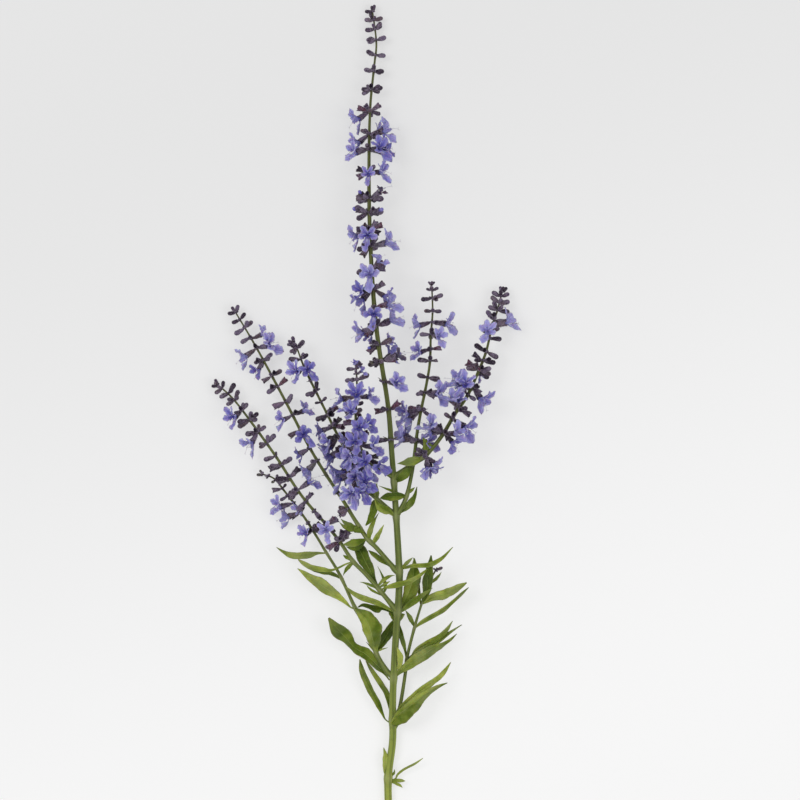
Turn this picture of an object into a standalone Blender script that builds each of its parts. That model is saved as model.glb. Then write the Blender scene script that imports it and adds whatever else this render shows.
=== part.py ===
"""A cut, branched flowering stem of Russian sage, lying on a flat surface.

Leafy stems, flowering spikes and single leaves, each a closed solid of its own. All sizes below are in
millimetres, in the frame of the cut end: x to the right, y from the cut end towards the tip of the main
spike, z up from the surface. plant_frame moves the finished plant so that the middle of its footprint is
the origin.
"""

import math

import bmesh
import bpy
from mathutils import Matrix, Vector
from mathutils.geometry import interpolate_bezier

MM = 0.001
GAP = 0.35  # air between two pieces that meet
STEM_STEP = 9.0  # length of one straight run of a stem's tube
ROUTE_POINTS = 9  # points read from a route between two of its own points
SPIKE_SIDES = 4  # sides of a spike's axis
LEAF_THICKNESS = 0.5
JOIN_INSIDE = 0.15  # how far inside its axis a flower starts
BELOW_WHORLS = 6.0  # length of bare axis below a spike's lowest whorl
STRAIGHT_END = 2.0  # a stem and its spike are straight for this far where they meet

# Each stem: the points its middle line passes through, and its radius at some distances from its base.
STEMS = {
    "main": {
        "route": [
            (0, 0, 2), (-0.5, 25, 2.3), (2, 46, 3.4), (2, 67.5, 5.2), (3.5, 99, 9), (5.5, 128.5, 13.5),
            (5.5, 143, 15.5), (3.5, 177.5, 19.5), (1.5, 205.5, 21), (-0.5, 230.5, 21), (-6, 266, 19.5),
            (-8.5, 290.5, 18), (-10.5, 326, 15.5), (-11, 360.5, 13), (-10.4, 394, 9.3), (-8.1, 418.5, 5.7),
            (-7, 431, 4.5), (-9.2, 449, 2.6),
        ],
        "radii": [
            (0, 1.95), (70, 1.95), (130, 1.8), (200, 1.5), (240, 1.3), (350, 1.0), (420, 0.6), (450, 0.35),
        ],
    },
    "a": {
        "route": [
            (2, 120.5, 12.4), (-5.5, 129.7, 13), (-12.8, 138, 13), (-20.3, 145.7, 13), (-26.3, 154.8, 12.5),
            (-33.5, 164, 13), (-48.7, 182, 12.5), (-62.5, 203, 9.5), (-78.5, 225, 7), (-87, 235.5, 5.5),
            (-95, 242.5, 3.5),
        ],
        "radii": [(0, 1.2), (34, 1.05), (50, 0.9), (120, 0.7), (157, 0.35)],
    },
    "b": {
        "route": [
            (-1, 84, 7.1), (-7, 94.3, 8.5), (-11.8, 107.4, 9), (-18.5, 119, 9), (-24, 131, 8.5),
            (-28.5, 140, 8), (-34.4, 149.4, 7.5), (-40.5, 159.5, 7), (-47, 169.5, 6.6), (-58, 184, 6),
            (-63.5, 190.5, 5.2), (-70.5, 193, 4),
        ],
        "radii": [(0, 1.15), (39, 1.0), (60, 0.85), (110, 0.6), (131, 0.35)],
    },
    "c": {
        "route": [
            (3, 141, 15.2), (-6.2, 151.8, 15), (-12.2, 158, 14.5), (-18.6, 167.6, 14), (-26.5, 180.5, 13),
            (-35.5, 194, 11.5), (-44.5, 209, 10), (-57.3, 233.5, 8), (-72.9, 262.3, 7), (-85, 282.7, 4),
        ],
        "radii": [(0, 1.25), (21, 1.15), (40, 1.0), (120, 0.7), (167, 0.35)],
    },
    "d": {
        "route": [
            (3.5, 171, 19), (-6.5, 179.5, 18.5), (-16, 187, 17.5), (-19.5, 194, 16.5), (-21, 201, 15.5),
            (-27, 212, 14), (-34.5, 227, 12.5), (-42.5, 243, 11.5), (-47, 252.5, 11), (-51, 263, 10.5),
            (-53.5, 265.5, 10),
        ],
        "radii": [(0, 1.0), (30, 0.85), (90, 0.65), (112, 0.35)],
    },
    "e": {
        "route": [
            (2, 191.5, 20.5), (-9.5, 199, 24), (-16, 208.5, 27), (-18, 220, 28.5), (-18, 233, 29),
            (-17.5, 242, 29), (-18, 253.5, 27.5),
        ],
        "radii": [(0, 0.95), (20, 0.85), (50, 0.65), (72, 0.35)],
    },
    "f": {
        "route": [
            (5, 171.5, 19), (9.5, 180.5, 19.5), (12.5, 193.5, 18.5), (14, 203.5, 17.5), (15.5, 216, 16.5),
            (17.5, 227.5, 15.5), (20.5, 242, 14), (22.5, 254.5, 12.5), (23, 269, 11), (24, 282.5, 9.5),
            (23.5, 298, 8),
        ],
        "radii": [(0, 1.1), (30, 0.95), (90, 0.7), (129, 0.35)],
    },
    "g": {
        "route": [
            (4, 192.5, 20.8), (10.5, 197, 21.5), (18.4, 202.1, 22), (22.6, 206, 22), (29.4, 214.7, 20.5),
            (36.5, 226.5, 18), (43, 236, 15.5), (49, 249, 12), (53.5, 260.5, 9.5), (56.5, 273, 7.5),
            (60, 284, 6), (62.5, 294, 4),
        ],
        "radii": [(0, 1.2), (30, 1.05), (80, 0.8), (121, 0.35)],
    },
    "h": {
        "route": [
            (3.5, 54, 3.8), (6.5, 67, 3), (9, 83, 4.5), (10.1, 92.5, 6), (14.2, 109, 8), (17.9, 121.4, 9),
            (21.5, 131.9, 9.5), (26.5, 141.5, 9),
        ],
        "radii": [(0, 1.0), (55, 0.8), (70, 0.6), (91, 0.4)],
    },
}

# Each spike: its whorls of flowers, by their distance from its tip, and what each whorl carries:
# b two small buds, c four closed calyces, o four calyces with up to three open corollas.
SPIKES = {
    "main": (
        [1, 6, 11, 17, 25.5, 34.5, 45, 57, 70, 78.5, 91, 105.5, 113.5, 122.5, 132, 144.5, 156, 165.5, 176,
         186.5, 195.5, 207, 222.5, 239],
        "bbbbbbbooooccoooooocoocc",
    ),
    "a": (
        [1, 4, 8.5, 13.5, 20.5, 27.5, 35.5, 43.5, 52, 58, 66, 74.5, 82, 89, 99.5, 110.5],
        "bbbbococcccoococ",
    ),
    "b": ([1, 4.5, 9, 15, 20, 25, 31.5, 39, 43.5], "bbbbbcocc"),
    "c": (
        [1, 5.5, 11, 17, 24, 31.5, 41.5, 48, 57.5, 66, 75, 86.5, 94.5, 103.5, 115.5, 126],
        "bbbobocccocccbbb",
    ),
    "d": ([1.5, 4.5, 11, 15.5, 24, 30.5, 37, 45, 52, 58.5, 65.5, 72.5, 80, 86], "bbbobccocccccc"),
    "e": ([1, 4.5, 8.5, 13.5, 18.5, 23.5, 28, 33.5, 41, 49, 57], "bbccoococoo"),
    "f": ([1, 4, 8.5, 15.5, 21.5, 28.5, 36.5, 43, 52.5, 61, 70.5, 87.5], "bbbbccobcoco"),
    "g": (
        [1, 3.5, 7, 11.5, 17, 23.5, 27.5, 35.5, 41, 46.5, 56.5, 62, 71, 78, 87, 103],
        "bbbboccccccocooo",
    ),
    "h": ([1.5], "b"),
}

# The flowers, measured along themselves and away from their middle line.
BUD = {"length": 3.6, "foot": 0.35, "mouth": 0.9}
CALYX = {"length": 6.6, "foot": 0.35, "mouth": 1.15}
COROLLA = {"start": 5.3, "length": 8.2, "foot": 0.6, "mouth": 2.9}
FLOWER_TILT = {"b": 55, "c": 68, "o": 72}  # degrees between a flower and the spike's axis
OPEN_ABOVE = -0.3  # least rise of a flower that is open
FACING_UP = 0.8  # rise of a flower that is open in every open whorl

# Each leaf: the stem it grows from and how far up, the middle and the tip of its blade, the blade's
# width, and how far the two halves are folded up from flat, in degrees.
LEAVES = {
    "leaf_1_upright": ("main", 27, (-3, 34, 3.4), (-3.5, 42, 3.5), 3.3, 20),
    "leaf_1_curved": ("main", 24, (10, 27, 3), (18.5, 36.5, 4.5), 1.8, 15),
    "leaf_2_left": ("main", 55.5, (-10.5, 72, 4.5), (-16, 91, 6), 4.7, 25),
    "leaf_2_back": ("main", 60, (-5, 74, 1.8), (-12, 88, 2.5), 3.3, 10),
    "leaf_2_right_upper": ("main", 60, (16.5, 76, 8), (34, 89, 8.5), 5.2, 20),
    "leaf_2_right": ("main", 55, (16, 66.8, 10.5), (32, 78, 10.5), 8.6, 32),
    "leaf_3_left": ("main", 79.5, (-17, 97.5, 6.5), (-33.5, 113.5, 10), 8.8, 25),
    "leaf_3_right": ("main", 81.5, (19, 92.6, 11.5), (37.5, 105, 12), 7.4, 30),
    "leaf_3_front": ("main", 86, (7, 91.5, 11.5), (3.5, 98.5, 13), 4.4, 10),
    "leaf_b1_broad": ("b", 12, (-9, 106, 12.5), (-17, 119, 12.5), 10.5, 25),
    "leaf_b1_dark": ("b", 12.5, (-0.5, 105.5, 6.5), (7.5, 118.5, 7), 5.5, 20),
    "leaf_h1_right": ("h", 36, (21, 101.5, 8), (35, 112, 11), 5, 25),
    "leaf_h1_left": ("h", 37.5, (8, 100, 7.5), (5, 111.5, 8), 3, 20),
    "leaf_4_left": ("main", 117.5, (-8, 123, 12.5), (-23, 131, 12), 5.2, 20),
    "leaf_4_left_lower": ("main", 116.5, (-5.5, 118.5, 9), (-16.5, 121, 9), 5.5, 40),
    "leaf_4_right": ("main", 119.5, (12.5, 133.5, 10.5), (13, 147, 13), 8.8, 15),
    "leaf_4_right_low": ("main", 117.5, (15, 124, 13), (24, 130.5, 15), 3.6, 20),
    "leaf_a1_crossing": ("a", 11, (9, 132.5, 18), (20.5, 140, 16), 4.1, 20),
    "leaf_a1_broad": ("a", 12, (-14, 145, 9.5), (-22, 156, 9.5), 8.2, 25),
    "leaf_h3_up": ("h", 69.5, (20.5, 135, 12.5), (23, 148, 14), 5.8, 25),
    "leaf_h3_right": ("h", 69.5, (29.5, 127.4, 10.5), (42.5, 133, 11.5), 6.2, 20),
    "leaf_h2_right": ("h", 55.5, (29.5, 118.5, 9), (43.5, 130.5, 10), 3.9, 30),
    "leaf_h2_left": ("h", 56.5, (11.5, 114, 9.5), (9, 118, 10), 2.5, 15),
    "leaf_5_right": ("main", 142, (22.5, 143.5, 17.5), (35, 153, 17.5), 4.1, 25),
    "leaf_5_left": ("main", 139.5, (-3.5, 144.5, 12), (-10.5, 150.5, 11), 3.3, 20),
    "leaf_a2_left": ("a", 33, (-35, 139.8, 12.5), (-49.7, 146, 11), 4.6, 25),
    "leaf_b3_left": ("b", 74, (-49, 147.5, 8.5), (-61.5, 152.5, 8), 5, 25),
    "leaf_b2_left": ("b", 39, (-34.4, 129.6, 9), (-50.2, 140.7, 8.5), 7.2, 20),
    "leaf_b2_upper": ("b", 57.5, (-31.5, 138.5, 7), (-37, 139.5, 6.5), 3.9, 20),
    "leaf_c1_left": ("c", 22.5, (-20, 155, 14), (-25.5, 154.5, 15), 4.4, 20),
    "leaf_c1_upper": ("c", 29.5, (-22, 165, 14), (-26.5, 168.5, 14.5), 3.3, 20),
    "leaf_c1_up": ("c", 21, (-10, 163, 17), (-5.5, 172, 18), 3, 20),
    "leaf_c1_right": ("c", 18.5, (-6, 157.5, 15.5), (-3, 165, 17), 5, 20),
    "leaf_d1_up": ("d", 13, (-7, 183.5, 20), (-6.5, 188.5, 21), 3.3, 20),
    "leaf_d1_down": ("d", 12.5, (-10, 172.5, 19), (-12.5, 165.5, 16), 5.2, 20),
    "leaf_6_left": ("main", 171, (-1.5, 173, 21.5), (-6, 179, 22), 5.5, 30),
    "leaf_f1_crossing": ("f", 10.5, (3, 180, 23.5), (-4.5, 180, 23.5), 4.7, 25),
    "leaf_6_right": ("main", 172, (12.5, 175.5, 18), (15.5, 186, 19), 4.7, 25),
    "leaf_g1_left": ("g", 17, (11.5, 200, 26), (4.5, 199, 26.5), 5.2, 25),
    "leaf_7_right": ("main", 190, (9, 193.5, 24), (12.5, 197.5, 24), 5.2, 25),
}

# A blade's outline: the share of its length, and the share of its width there.
BLADE = [(0, 0.1), (0.18, 0.5), (0.38, 0.95), (0.6, 0.95), (0.82, 0.55), (1, 0.12)]
BLADE_LEAST = 1.0  # width of the narrowest leaf stalk

STEM_GREEN = (0.19, 0.27, 0.06)
BRANCH_GREEN = (0.14, 0.21, 0.05)
LEAF_GREEN = (0.12, 0.22, 0.03)
FLOWER_VIOLET = (0.13, 0.10, 0.38)


class Route:
    """A smooth line through a stem's points, read by its distance from the stem's base."""

    def __init__(self, stem):
        points = [Vector(p) for p in stem["route"]]
        ends = [2 * points[0] - points[1]] + points + [2 * points[-1] - points[-2]]
        self.points = [points[0]]
        for before, start, end, after in zip(ends, ends[1:], ends[2:], ends[3:]):
            handles = start + (end - before) / 6, end - (after - start) / 6
            self.points += interpolate_bezier(start, *handles, end, ROUTE_POINTS)[1:]
        self.lengths = [0.0]
        for start, end in zip(self.points, self.points[1:]):
            self.lengths.append(self.lengths[-1] + (end - start).length)
        self.length = self.lengths[-1]
        self.radii = stem["radii"]

    def at(self, distance):
        """The point and the direction at a distance from the base."""
        distance = min(max(distance, 0.0), self.length)
        i = next(i for i in range(1, len(self.lengths)) if self.lengths[i] >= distance)
        share = (distance - self.lengths[i - 1]) / (self.lengths[i] - self.lengths[i - 1])
        start, end = self.points[i - 1], self.points[i]
        return start.lerp(end, share), (end - start).normalized()

    def radius(self, distance):
        for (start, r0), (end, r1) in zip(self.radii, self.radii[1:]):
            if distance <= end:
                return r0 + (r1 - r0) * (distance - start) / (end - start)
        return self.radii[-1][1]


def new_material(name, colour, roughness):
    material = bpy.data.materials.new(name)
    material.use_nodes = True
    shader = material.node_tree.nodes["Principled BSDF"]
    shader.inputs["Base Color"].default_value = (*colour, 1)
    shader.inputs["Roughness"].default_value = roughness
    shader.inputs["Metallic"].default_value = 0
    return material


def add_piece(name, mesh, collection, colour, roughness=0.6):
    piece = bpy.data.objects.new(name, mesh)
    mesh.materials.append(new_material(name, colour, roughness))
    collection.objects.link(piece)
    return piece


def tube_mesh(name, route, distances, sides):
    """A tube along the route, with a ring at each of some distances: a curve with its caps welded on."""
    curve = bpy.data.curves.new(name, "CURVE")
    curve.dimensions = "3D"
    curve.bevel_depth = MM
    curve.bevel_resolution = sides // 2 - 2
    curve.use_fill_caps = True
    spline = curve.splines.new("POLY")
    spline.points.add(len(distances) - 1)
    for point, distance in zip(spline.points, distances):
        point.co = (*(route.at(distance)[0] * MM), 1)
        point.radius = route.radius(distance)
    holder = bpy.data.objects.new(name, curve)
    bpy.context.scene.collection.objects.link(holder)
    evaluated = holder.evaluated_get(bpy.context.evaluated_depsgraph_get())
    mesh = bpy.data.meshes.new_from_object(evaluated)
    bpy.data.objects.remove(holder)
    bpy.data.curves.remove(curve)
    bm = bmesh.new()
    bm.from_mesh(mesh)
    bmesh.ops.remove_doubles(bm, verts=bm.verts, dist=1e-6)
    bmesh.ops.recalc_face_normals(bm, faces=bm.faces)
    bm.to_mesh(mesh)
    bm.free()
    return mesh


def add_cone(bm, foot, direction, length, foot_radius, mouth_radius):
    """A four-sided flower tube that starts at foot and widens along direction."""
    turn = direction.to_track_quat("Z", "Y").to_matrix().to_4x4()
    middle = Matrix.Translation((foot + direction * length / 2) * MM)
    bmesh.ops.create_cone(
        bm, cap_ends=True, segments=4, radius1=foot_radius * MM, radius2=mouth_radius * MM,
        depth=length * MM, matrix=middle @ turn,
    )


def add_whorl(bm, centre, axis, radius, kind, turned):
    """The flowers of one whorl, around a point of the spike's axis."""
    right = Vector((axis.y, -axis.x, 0)).normalized()
    front = right.cross(axis)
    size = BUD if kind == "b" else CALYX
    count = 2 if kind == "b" else 4
    tilt = math.radians(FLOWER_TILT[kind])
    for i in range(count):
        around = 2 * math.pi * i / count + (math.pi / count if turned else 0)
        out = right * math.cos(around) + front * math.sin(around)
        direction = axis * math.cos(tilt) + out * math.sin(tilt)
        foot = centre + out * (radius - JOIN_INSIDE) * 0.5
        add_cone(bm, foot, direction, size["length"], size["foot"], size["mouth"])
        if kind == "o" and direction.z > OPEN_ABOVE and (i % 2 == 0 or out.z > FACING_UP):
            start = foot + direction * COROLLA["start"]
            add_cone(bm, start, direction, COROLLA["length"], COROLLA["foot"], COROLLA["mouth"])


def spike_start(route, whorls):
    """How far from the stem's base its spike begins, just below the lowest whorl."""
    return route.length - whorls[-1] - BELOW_WHORLS


def add_spike(name, route, whorls, kinds, pieces, cutters):
    """A spike as one solid: its axis, bent only at its whorls, with all its flowers joined on."""
    first = spike_start(route, whorls) + GAP
    distances = [first, first + STRAIGHT_END]
    distances += [route.length - from_tip for from_tip in reversed(whorls)]
    mesh = tube_mesh(name, route, distances + [route.length], SPIKE_SIDES)
    spike = add_piece(name, mesh, pieces, FLOWER_VIOLET, 0.7)
    bm = bmesh.new()
    for number, (from_tip, kind) in enumerate(zip(whorls, kinds)):
        distance = route.length - from_tip
        centre, axis = route.at(distance)
        add_whorl(bm, centre, axis, route.radius(distance), kind, number % 2 == 1)
    flowers_mesh = bpy.data.meshes.new(name + "_flowers")
    bm.to_mesh(flowers_mesh)
    bm.free()
    flowers = bpy.data.objects.new(name + "_flowers", flowers_mesh)
    flowers.hide_render = True
    flowers.display_type = "WIRE"
    cutters.objects.link(flowers)
    union = spike.modifiers.new("flowers", "BOOLEAN")
    union.operation = "UNION"
    union.solver = "EXACT"
    union.use_self = True
    union.object = flowers
    return spike


def add_leaf(name, route, at, middle, tip, width, fold, collection):
    """A leaf blade: three rows of points along a curved midrib, made solid with Solidify."""
    foot, axis = route.at(at)
    middle, tip = Vector(middle), Vector(tip)
    out = middle - foot
    out = (out - axis * out.dot(axis)).normalized()
    clear = route.radius(at) + GAP
    stalk = max(BLADE[0][1] * width, BLADE_LEAST) / 2
    for _ in range(2):  # the second pass knows how the stalk's end is turned
        start = foot + out * clear
        handle = 2 * middle - (start + tip) / 2
        along = (handle - start).normalized()
        side = along.cross(Vector((0, 0, 1))).normalized()
        up = side.cross(along)
        clear = route.radius(at) + GAP + stalk * abs(side.dot(out)) + LEAF_THICKNESS * abs(up.dot(out))
    bm = bmesh.new()
    rows = []
    for share, wide in BLADE:
        point = start * (1 - share) ** 2 + handle * 2 * share * (1 - share) + tip * share**2
        along = ((handle - start) * (1 - share) + (tip - handle) * share).normalized()
        side = along.cross(Vector((0, 0, 1))).normalized()
        up = side.cross(along)
        half = max(wide * width, BLADE_LEAST) / 2
        turn = math.radians(fold) * min(1, share * 4)
        spread = side * half * math.cos(turn)
        lift = up * half * math.sin(turn)
        rows.append([bm.verts.new(p * MM) for p in (point - spread + lift, point, point + spread + lift)])
    for near, far in zip(rows, rows[1:]):
        for i in range(2):
            bm.faces.new((near[i], near[i + 1], far[i + 1], far[i]))
    mesh = bpy.data.meshes.new(name)
    bm.to_mesh(mesh)
    bm.free()
    leaf = add_piece(name, mesh, collection, LEAF_GREEN, 0.5)
    solid = leaf.modifiers.new("thickness", "SOLIDIFY")
    solid.thickness = LEAF_THICKNESS * MM
    solid.offset = 0
    return leaf


def branch_start(route, main):
    """Where a side stem's tube can start so that its end face clears the main stem."""
    distance = 0.0
    while distance < route.length:
        point, axis = route.at(distance)
        on_main = min(main.points, key=lambda p: (p - point).length)
        near = main.lengths[main.points.index(on_main)]
        clear = min((main.at(near + d)[0] - point).length for d in range(-9, 10))
        lean = abs(axis.dot(main.at(near)[1]))
        if clear >= main.radius(near) + GAP + route.radius(distance) * lean:
            return distance
        distance += 0.1
    return distance


def build():
    for old in list(bpy.data.objects):
        bpy.data.objects.remove(old)
    pieces = bpy.data.collections.new("Russian_sage_spike")
    cutters = bpy.data.collections.new("Cutters")
    bpy.context.scene.collection.children.link(pieces)
    bpy.context.scene.collection.children.link(cutters)
    routes = {name: Route(stem) for name, stem in STEMS.items()}
    objects = []
    for name, route in routes.items():
        label = name if name == "main" else "branch_" + name
        whorls, kinds = SPIKES[name]
        start = 0 if name == "main" else branch_start(route, routes["main"])
        end = spike_start(route, whorls)
        run = end - STRAIGHT_END - start
        count = max(1, round(run / STEM_STEP))
        distances = [start + run * i / count for i in range(count + 1)] + [end]
        mesh = tube_mesh(label + "_stem", route, distances, 8 if name == "main" else 6)
        colour = STEM_GREEN if name == "main" else BRANCH_GREEN
        objects.append(add_piece(label + "_stem", mesh, pieces, colour))
        objects.append(add_spike(label + "_spike", route, whorls, kinds, pieces, cutters))
    for name, (stem, *shape) in LEAVES.items():
        objects.append(add_leaf(name, routes[stem], *shape, pieces))
    plant_frame = bpy.data.objects.new("plant_frame", None)
    pieces.objects.link(plant_frame)
    for piece in objects:
        piece.parent = plant_frame
    for flowers in cutters.objects:
        flowers.parent = plant_frame
    bpy.context.view_layer.update()
    shapes = bpy.context.evaluated_depsgraph_get()
    corners = [v.co for piece in objects for v in piece.evaluated_get(shapes).data.vertices]
    low = Vector(min(c[i] for c in corners) for i in range(3))
    high = Vector(max(c[i] for c in corners) for i in range(3))
    plant_frame.location = (-(low.x + high.x) / 2, -(low.y + high.y) / 2, -low.z)


build()
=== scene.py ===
"""The looks of a cut, branched flowering stem of Russian sage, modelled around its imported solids.

Sizes are in millimetres, in the frame of the stem's cut end: x to the right, y from the cut end towards
the tip of the main spike, z up from the surface that it lies on. in_row_frame() turns them into the
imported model's frame. Every leaf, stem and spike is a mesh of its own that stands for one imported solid.
"""

import math
import re

import bpy
import numpy as np
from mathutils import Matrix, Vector
from mathutils.geometry import interpolate_bezier


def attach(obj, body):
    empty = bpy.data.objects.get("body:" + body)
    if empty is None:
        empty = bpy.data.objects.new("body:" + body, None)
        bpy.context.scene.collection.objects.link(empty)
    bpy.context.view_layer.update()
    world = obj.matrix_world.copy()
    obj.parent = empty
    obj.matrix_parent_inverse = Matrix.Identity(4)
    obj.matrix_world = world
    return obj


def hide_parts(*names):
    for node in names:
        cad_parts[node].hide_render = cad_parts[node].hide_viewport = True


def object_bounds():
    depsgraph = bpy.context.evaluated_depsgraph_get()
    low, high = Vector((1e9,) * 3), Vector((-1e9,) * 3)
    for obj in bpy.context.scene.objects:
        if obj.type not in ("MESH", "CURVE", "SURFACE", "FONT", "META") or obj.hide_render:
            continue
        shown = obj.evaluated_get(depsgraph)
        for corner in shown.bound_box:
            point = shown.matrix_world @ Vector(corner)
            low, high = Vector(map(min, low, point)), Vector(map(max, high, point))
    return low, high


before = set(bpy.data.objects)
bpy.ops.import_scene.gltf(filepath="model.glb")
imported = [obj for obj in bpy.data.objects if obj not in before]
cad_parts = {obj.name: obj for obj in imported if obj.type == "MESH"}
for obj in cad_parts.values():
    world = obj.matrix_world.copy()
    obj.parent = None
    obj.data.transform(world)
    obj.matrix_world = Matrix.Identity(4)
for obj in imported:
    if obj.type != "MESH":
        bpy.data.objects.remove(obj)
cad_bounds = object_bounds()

MM = 0.001
SEED = 11
ROUTE_STEPS = 9  # points between two points of a stem's route
CUT_END_HEIGHT = 2.0  # height of the stem's middle line at its cut end
SURFACE_CLEAR = 0.25  # least height of anything above the surface
LAID_FLAT_BELOW = 1.0  # what reaches lower than this is laid flat on the surface
LAYING_DEPTH = 0.75  # how soon it lies flat below that

# Stems.
STEM_RING = 1.6  # distance between the rings of a stem's skin
STEM_SIDES = 20
RIB_TURN = 0.01  # how fast its ribs turn about it, in radians a millimetre
STEM_TONES = {"main": 0.3, "a": 0.9, "b": 1.0, "c": 0.8, "d": 0.5, "e": 0.3, "f": 0.2, "g": 0.3, "h": 0.5}
YOUNGEST_SIDE_STEM = 0.25  # how far along its change of colour a side stem starts
CUT_BEVEL = [0.45, 0.88, 1.0]  # radius of the first rings at the cut end
CUT_PITH = [1.0, 0.5, 0.2]  # how much of the pith shows there
NODE_REACH = 2.6  # length of the swelling at a leaf node, and how far it swells
NODE_SWELLING = 0.22
WHORL_REACH = 1.3  # the same for the joint at a whorl
WHORL_SWELLING = 0.2
ROOT_BELOW = 2.0  # how far below its base a side stem starts inside the main stem
FOOT_FLARE = 0.35  # how much thicker it is at its base, and how soon that ends
FOOT_FLARE_REACH = 2.5

# Flowers, each drawn along x with z towards the spike's tip. A profile is (x, radius).
BUD_PROFILE = [
    (0, 0.26), (0.4, 0.4), (0.9, 0.74), (1.8, 1.02), (3.0, 1.16), (4.1, 1.1), (4.8, 0.76), (5.1, 0.2),
]
BUD_SIDES = 12
YOUNG_BUD = 0.42  # size of the youngest buds
CLOSED_PROFILE = [
    (0, 0.32), (0.6, 0.42), (1.2, 0.72), (1.9, 1.0), (2.8, 1.18), (3.9, 1.3), (4.9, 1.4), (5.7, 1.44),
    (6.4, 1.28), (6.95, 0.86), (7.3, 0.25),
]
CALYX_SIDES = 16
# The open calyx: x, radius, and how far each ring follows the teeth; out along its skin and back inside.
OPEN_RINGS = [
    (0, 0.32, 0), (0.6, 0.42, 0), (1.2, 0.7, 0), (2.0, 0.98, 0), (3.0, 1.18, 0), (4.0, 1.3, 0.02),
    (4.9, 1.44, 0.12), (5.5, 1.54, 0.6), (5.8, 1.58, 1.0), (5.65, 1.42, 0.85), (5.2, 1.26, 0.2),
    (4.3, 1.0, 0), (3.4, 0.7, 0),
]
TEETH = [(0, 90, 1.1, 0.2), (148, 50, 1.25, 0.3), (212, 50, 1.25, 0.3)]  # angle, width, length, flare
CALYX_FLAT = 0.88  # an open calyx is a little flattened
RIB_HEIGHT = 0.1  # of the calyx's ribs, as a share of its radius
CRUMPLE = 0.08  # how far a calyx is dented, as a share of its radius
HAIRS = 100  # on a calyx; a bud has half as many
HAIR_LENGTH = (0.35, 0.85)
HAIR_WIDTH = 0.055
TUBE_PROFILE = [
    (4.2, 0.55), (5.3, 0.75), (6.2, 1.0), (7.0, 1.35), (7.5, 1.5), (7.45, 1.25), (6.7, 0.7), (5.9, 0.35),
]
TUBE_SIDES = 12
OPENING_PROFILE = [(4.6, 0.45), (5.6, 0.8), (6.8, 1.1), (7.9, 1.2), (8.6, 0.8), (9.0, 0.15)]
THROAT = 7.2  # distance from the flower's foot to the mouth of its corolla
THROAT_RADIUS = 1.35
# The corolla's lobes: angle about the flower from the upper side, length, half width, how far it leans
# out from the flower's axis at its foot and at its end, and how far it twists, in degrees.
LOBES = [
    (-68, 6.2, 1.85, 30, 66, 42), (-23, 6.9, 1.75, 44, 88, 28), (23, 6.9, 1.75, 44, 88, -28),
    (68, 6.2, 1.85, 30, 66, -42),
]
TONGUE = (180, 8.4, 2.6, 52, 20, 28)
TURN_JITTER = (-6, 6)  # how far each of these varies from lobe to lobe
LENGTH_JITTER = (0.88, 1.1)
FOOT_LEAN_JITTER, END_LEAN_JITTER = (-12, 12), (-22, 22)
TWIST_JITTER = (-25, 25)
LOBE_ROWS, LOBE_COLUMNS = 12, 9
PETAL_THICKNESS = 0.16
LEAST_HALF_WIDTH = 0.05  # of a lobe
NOTCH = 0.6  # depth of the notch in a lobe's end
TONGUE_NOTCH = 0.3  # depth of the one in the tongue's, as a share of that
FRINGE = 0.15  # how far a lobe's edge goes in and out, as a share of its half width
CRUMPLE_HEIGHT = 0.18
STYLE_FOOT = 6.3
STYLE_REACH = (11.5, 14.5)  # least and most distance from the flower's foot to the style's end
ANTHER_PROFILE = [(0, 0.05), (0.2, 0.16), (0.5, 0.16), (0.7, 0.05)]
AROUND_JITTER, TILT_JITTER = (-5, 5), (-4, 4)  # degrees
SIZE_JITTER = (0.94, 1.06)
ROLL_JITTER = (-0.3, 0.3)  # radians
SUNK_FOOT = 0.6  # where in the stem a flower starts, as a share of the stem's radius
FACING = 0.75  # how far a flower is rolled about itself towards the light, in radians
FLOWER_HALF_WIDTH = 1.3
REACH = {"b": 4.5, "k": 7.4, "c": 7.6, "p": 9, "s": 9, "o": 14, "g": 4.2}  # of each kind of flower
HEADROOM = 1.5  # how far a flower may rise above the solids
MOST_LIFTED, MOST_LOWERED = 0.5, 0.3  # a direction's height, up to and down to which a flower is turned
WITHERED_SIZE = 0.55  # of a withered corolla
KINDS_WITH_OPEN_CALYX = "cpos"
TINTS = {"": 0.0, "r": 0.3, "t": 0.5, "n": 0.7, "w": 0.9}
PETAL_PAINTED_LIGHT = {"d": 0.55, "e": 0.45}  # painted shade: how pale the petals of spikes deep in the middle clump are, where not 1

# Leaves.
LEAF_GRID = (54, 15)  # rows along a leaf and columns across it
YOUNG_LEAF_GRID = (16, 7)
LEAF_THICKNESS = 0.42
LEAST_STALK = 0.35  # least half width of a leaf at its stalk, and of a plain one at its tip
TIP_HALF_WIDTH = 0.08
CLASPING_WIDTH = 8.5  # leaves this wide clasp the stem in front
TOOTHED_WIDTH = 4.5  # leaves this wide are toothed
TOOTH = 0.05  # depth of the teeth, as a share of the blade's half width
EDGE_WANDER = 0.06  # how far the edges go in and out besides, as the same share
MIDRIB_DEPTH = 0.3
VEIN_HEIGHT = 0.06

# Studio, in metres apart from the view.
FLOOR_SIZE = 6.0
FLOOR_SPAN = (-0.24, 0.22)  # where the floor's painted falloff of light changes, along the plant
FLOOR_NEAR, FLOOR_FAR = "#ffffff", "#ececec"
FLOOR_LEAN = 0.3  # how far the painted falloff also runs across, lighter to the right
FLOOR_GLOW = 0.6  # how much of the floor's shade the camera sees unlit
WORLD_STRENGTH = 0.52
WORLD_SEEN = 0.9  # strength of the world as the camera and gloss see it
LAMPS = {"key": ((-1.2, 0.6, 1.8), 1.2, 13.0), "fill": ((1.4, -0.4, 1.6), 1.4, 8.0)}  # place, size, power
LENS, SENSOR = 200.0, 36.0
VIEW_WIDTH = 440.0  # of the plant, seen across the picture
VIEW_CENTRE = (6.05, 233.75)
VIEW_HEIGHT = 12.0  # height at which the picture is that wide

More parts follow.
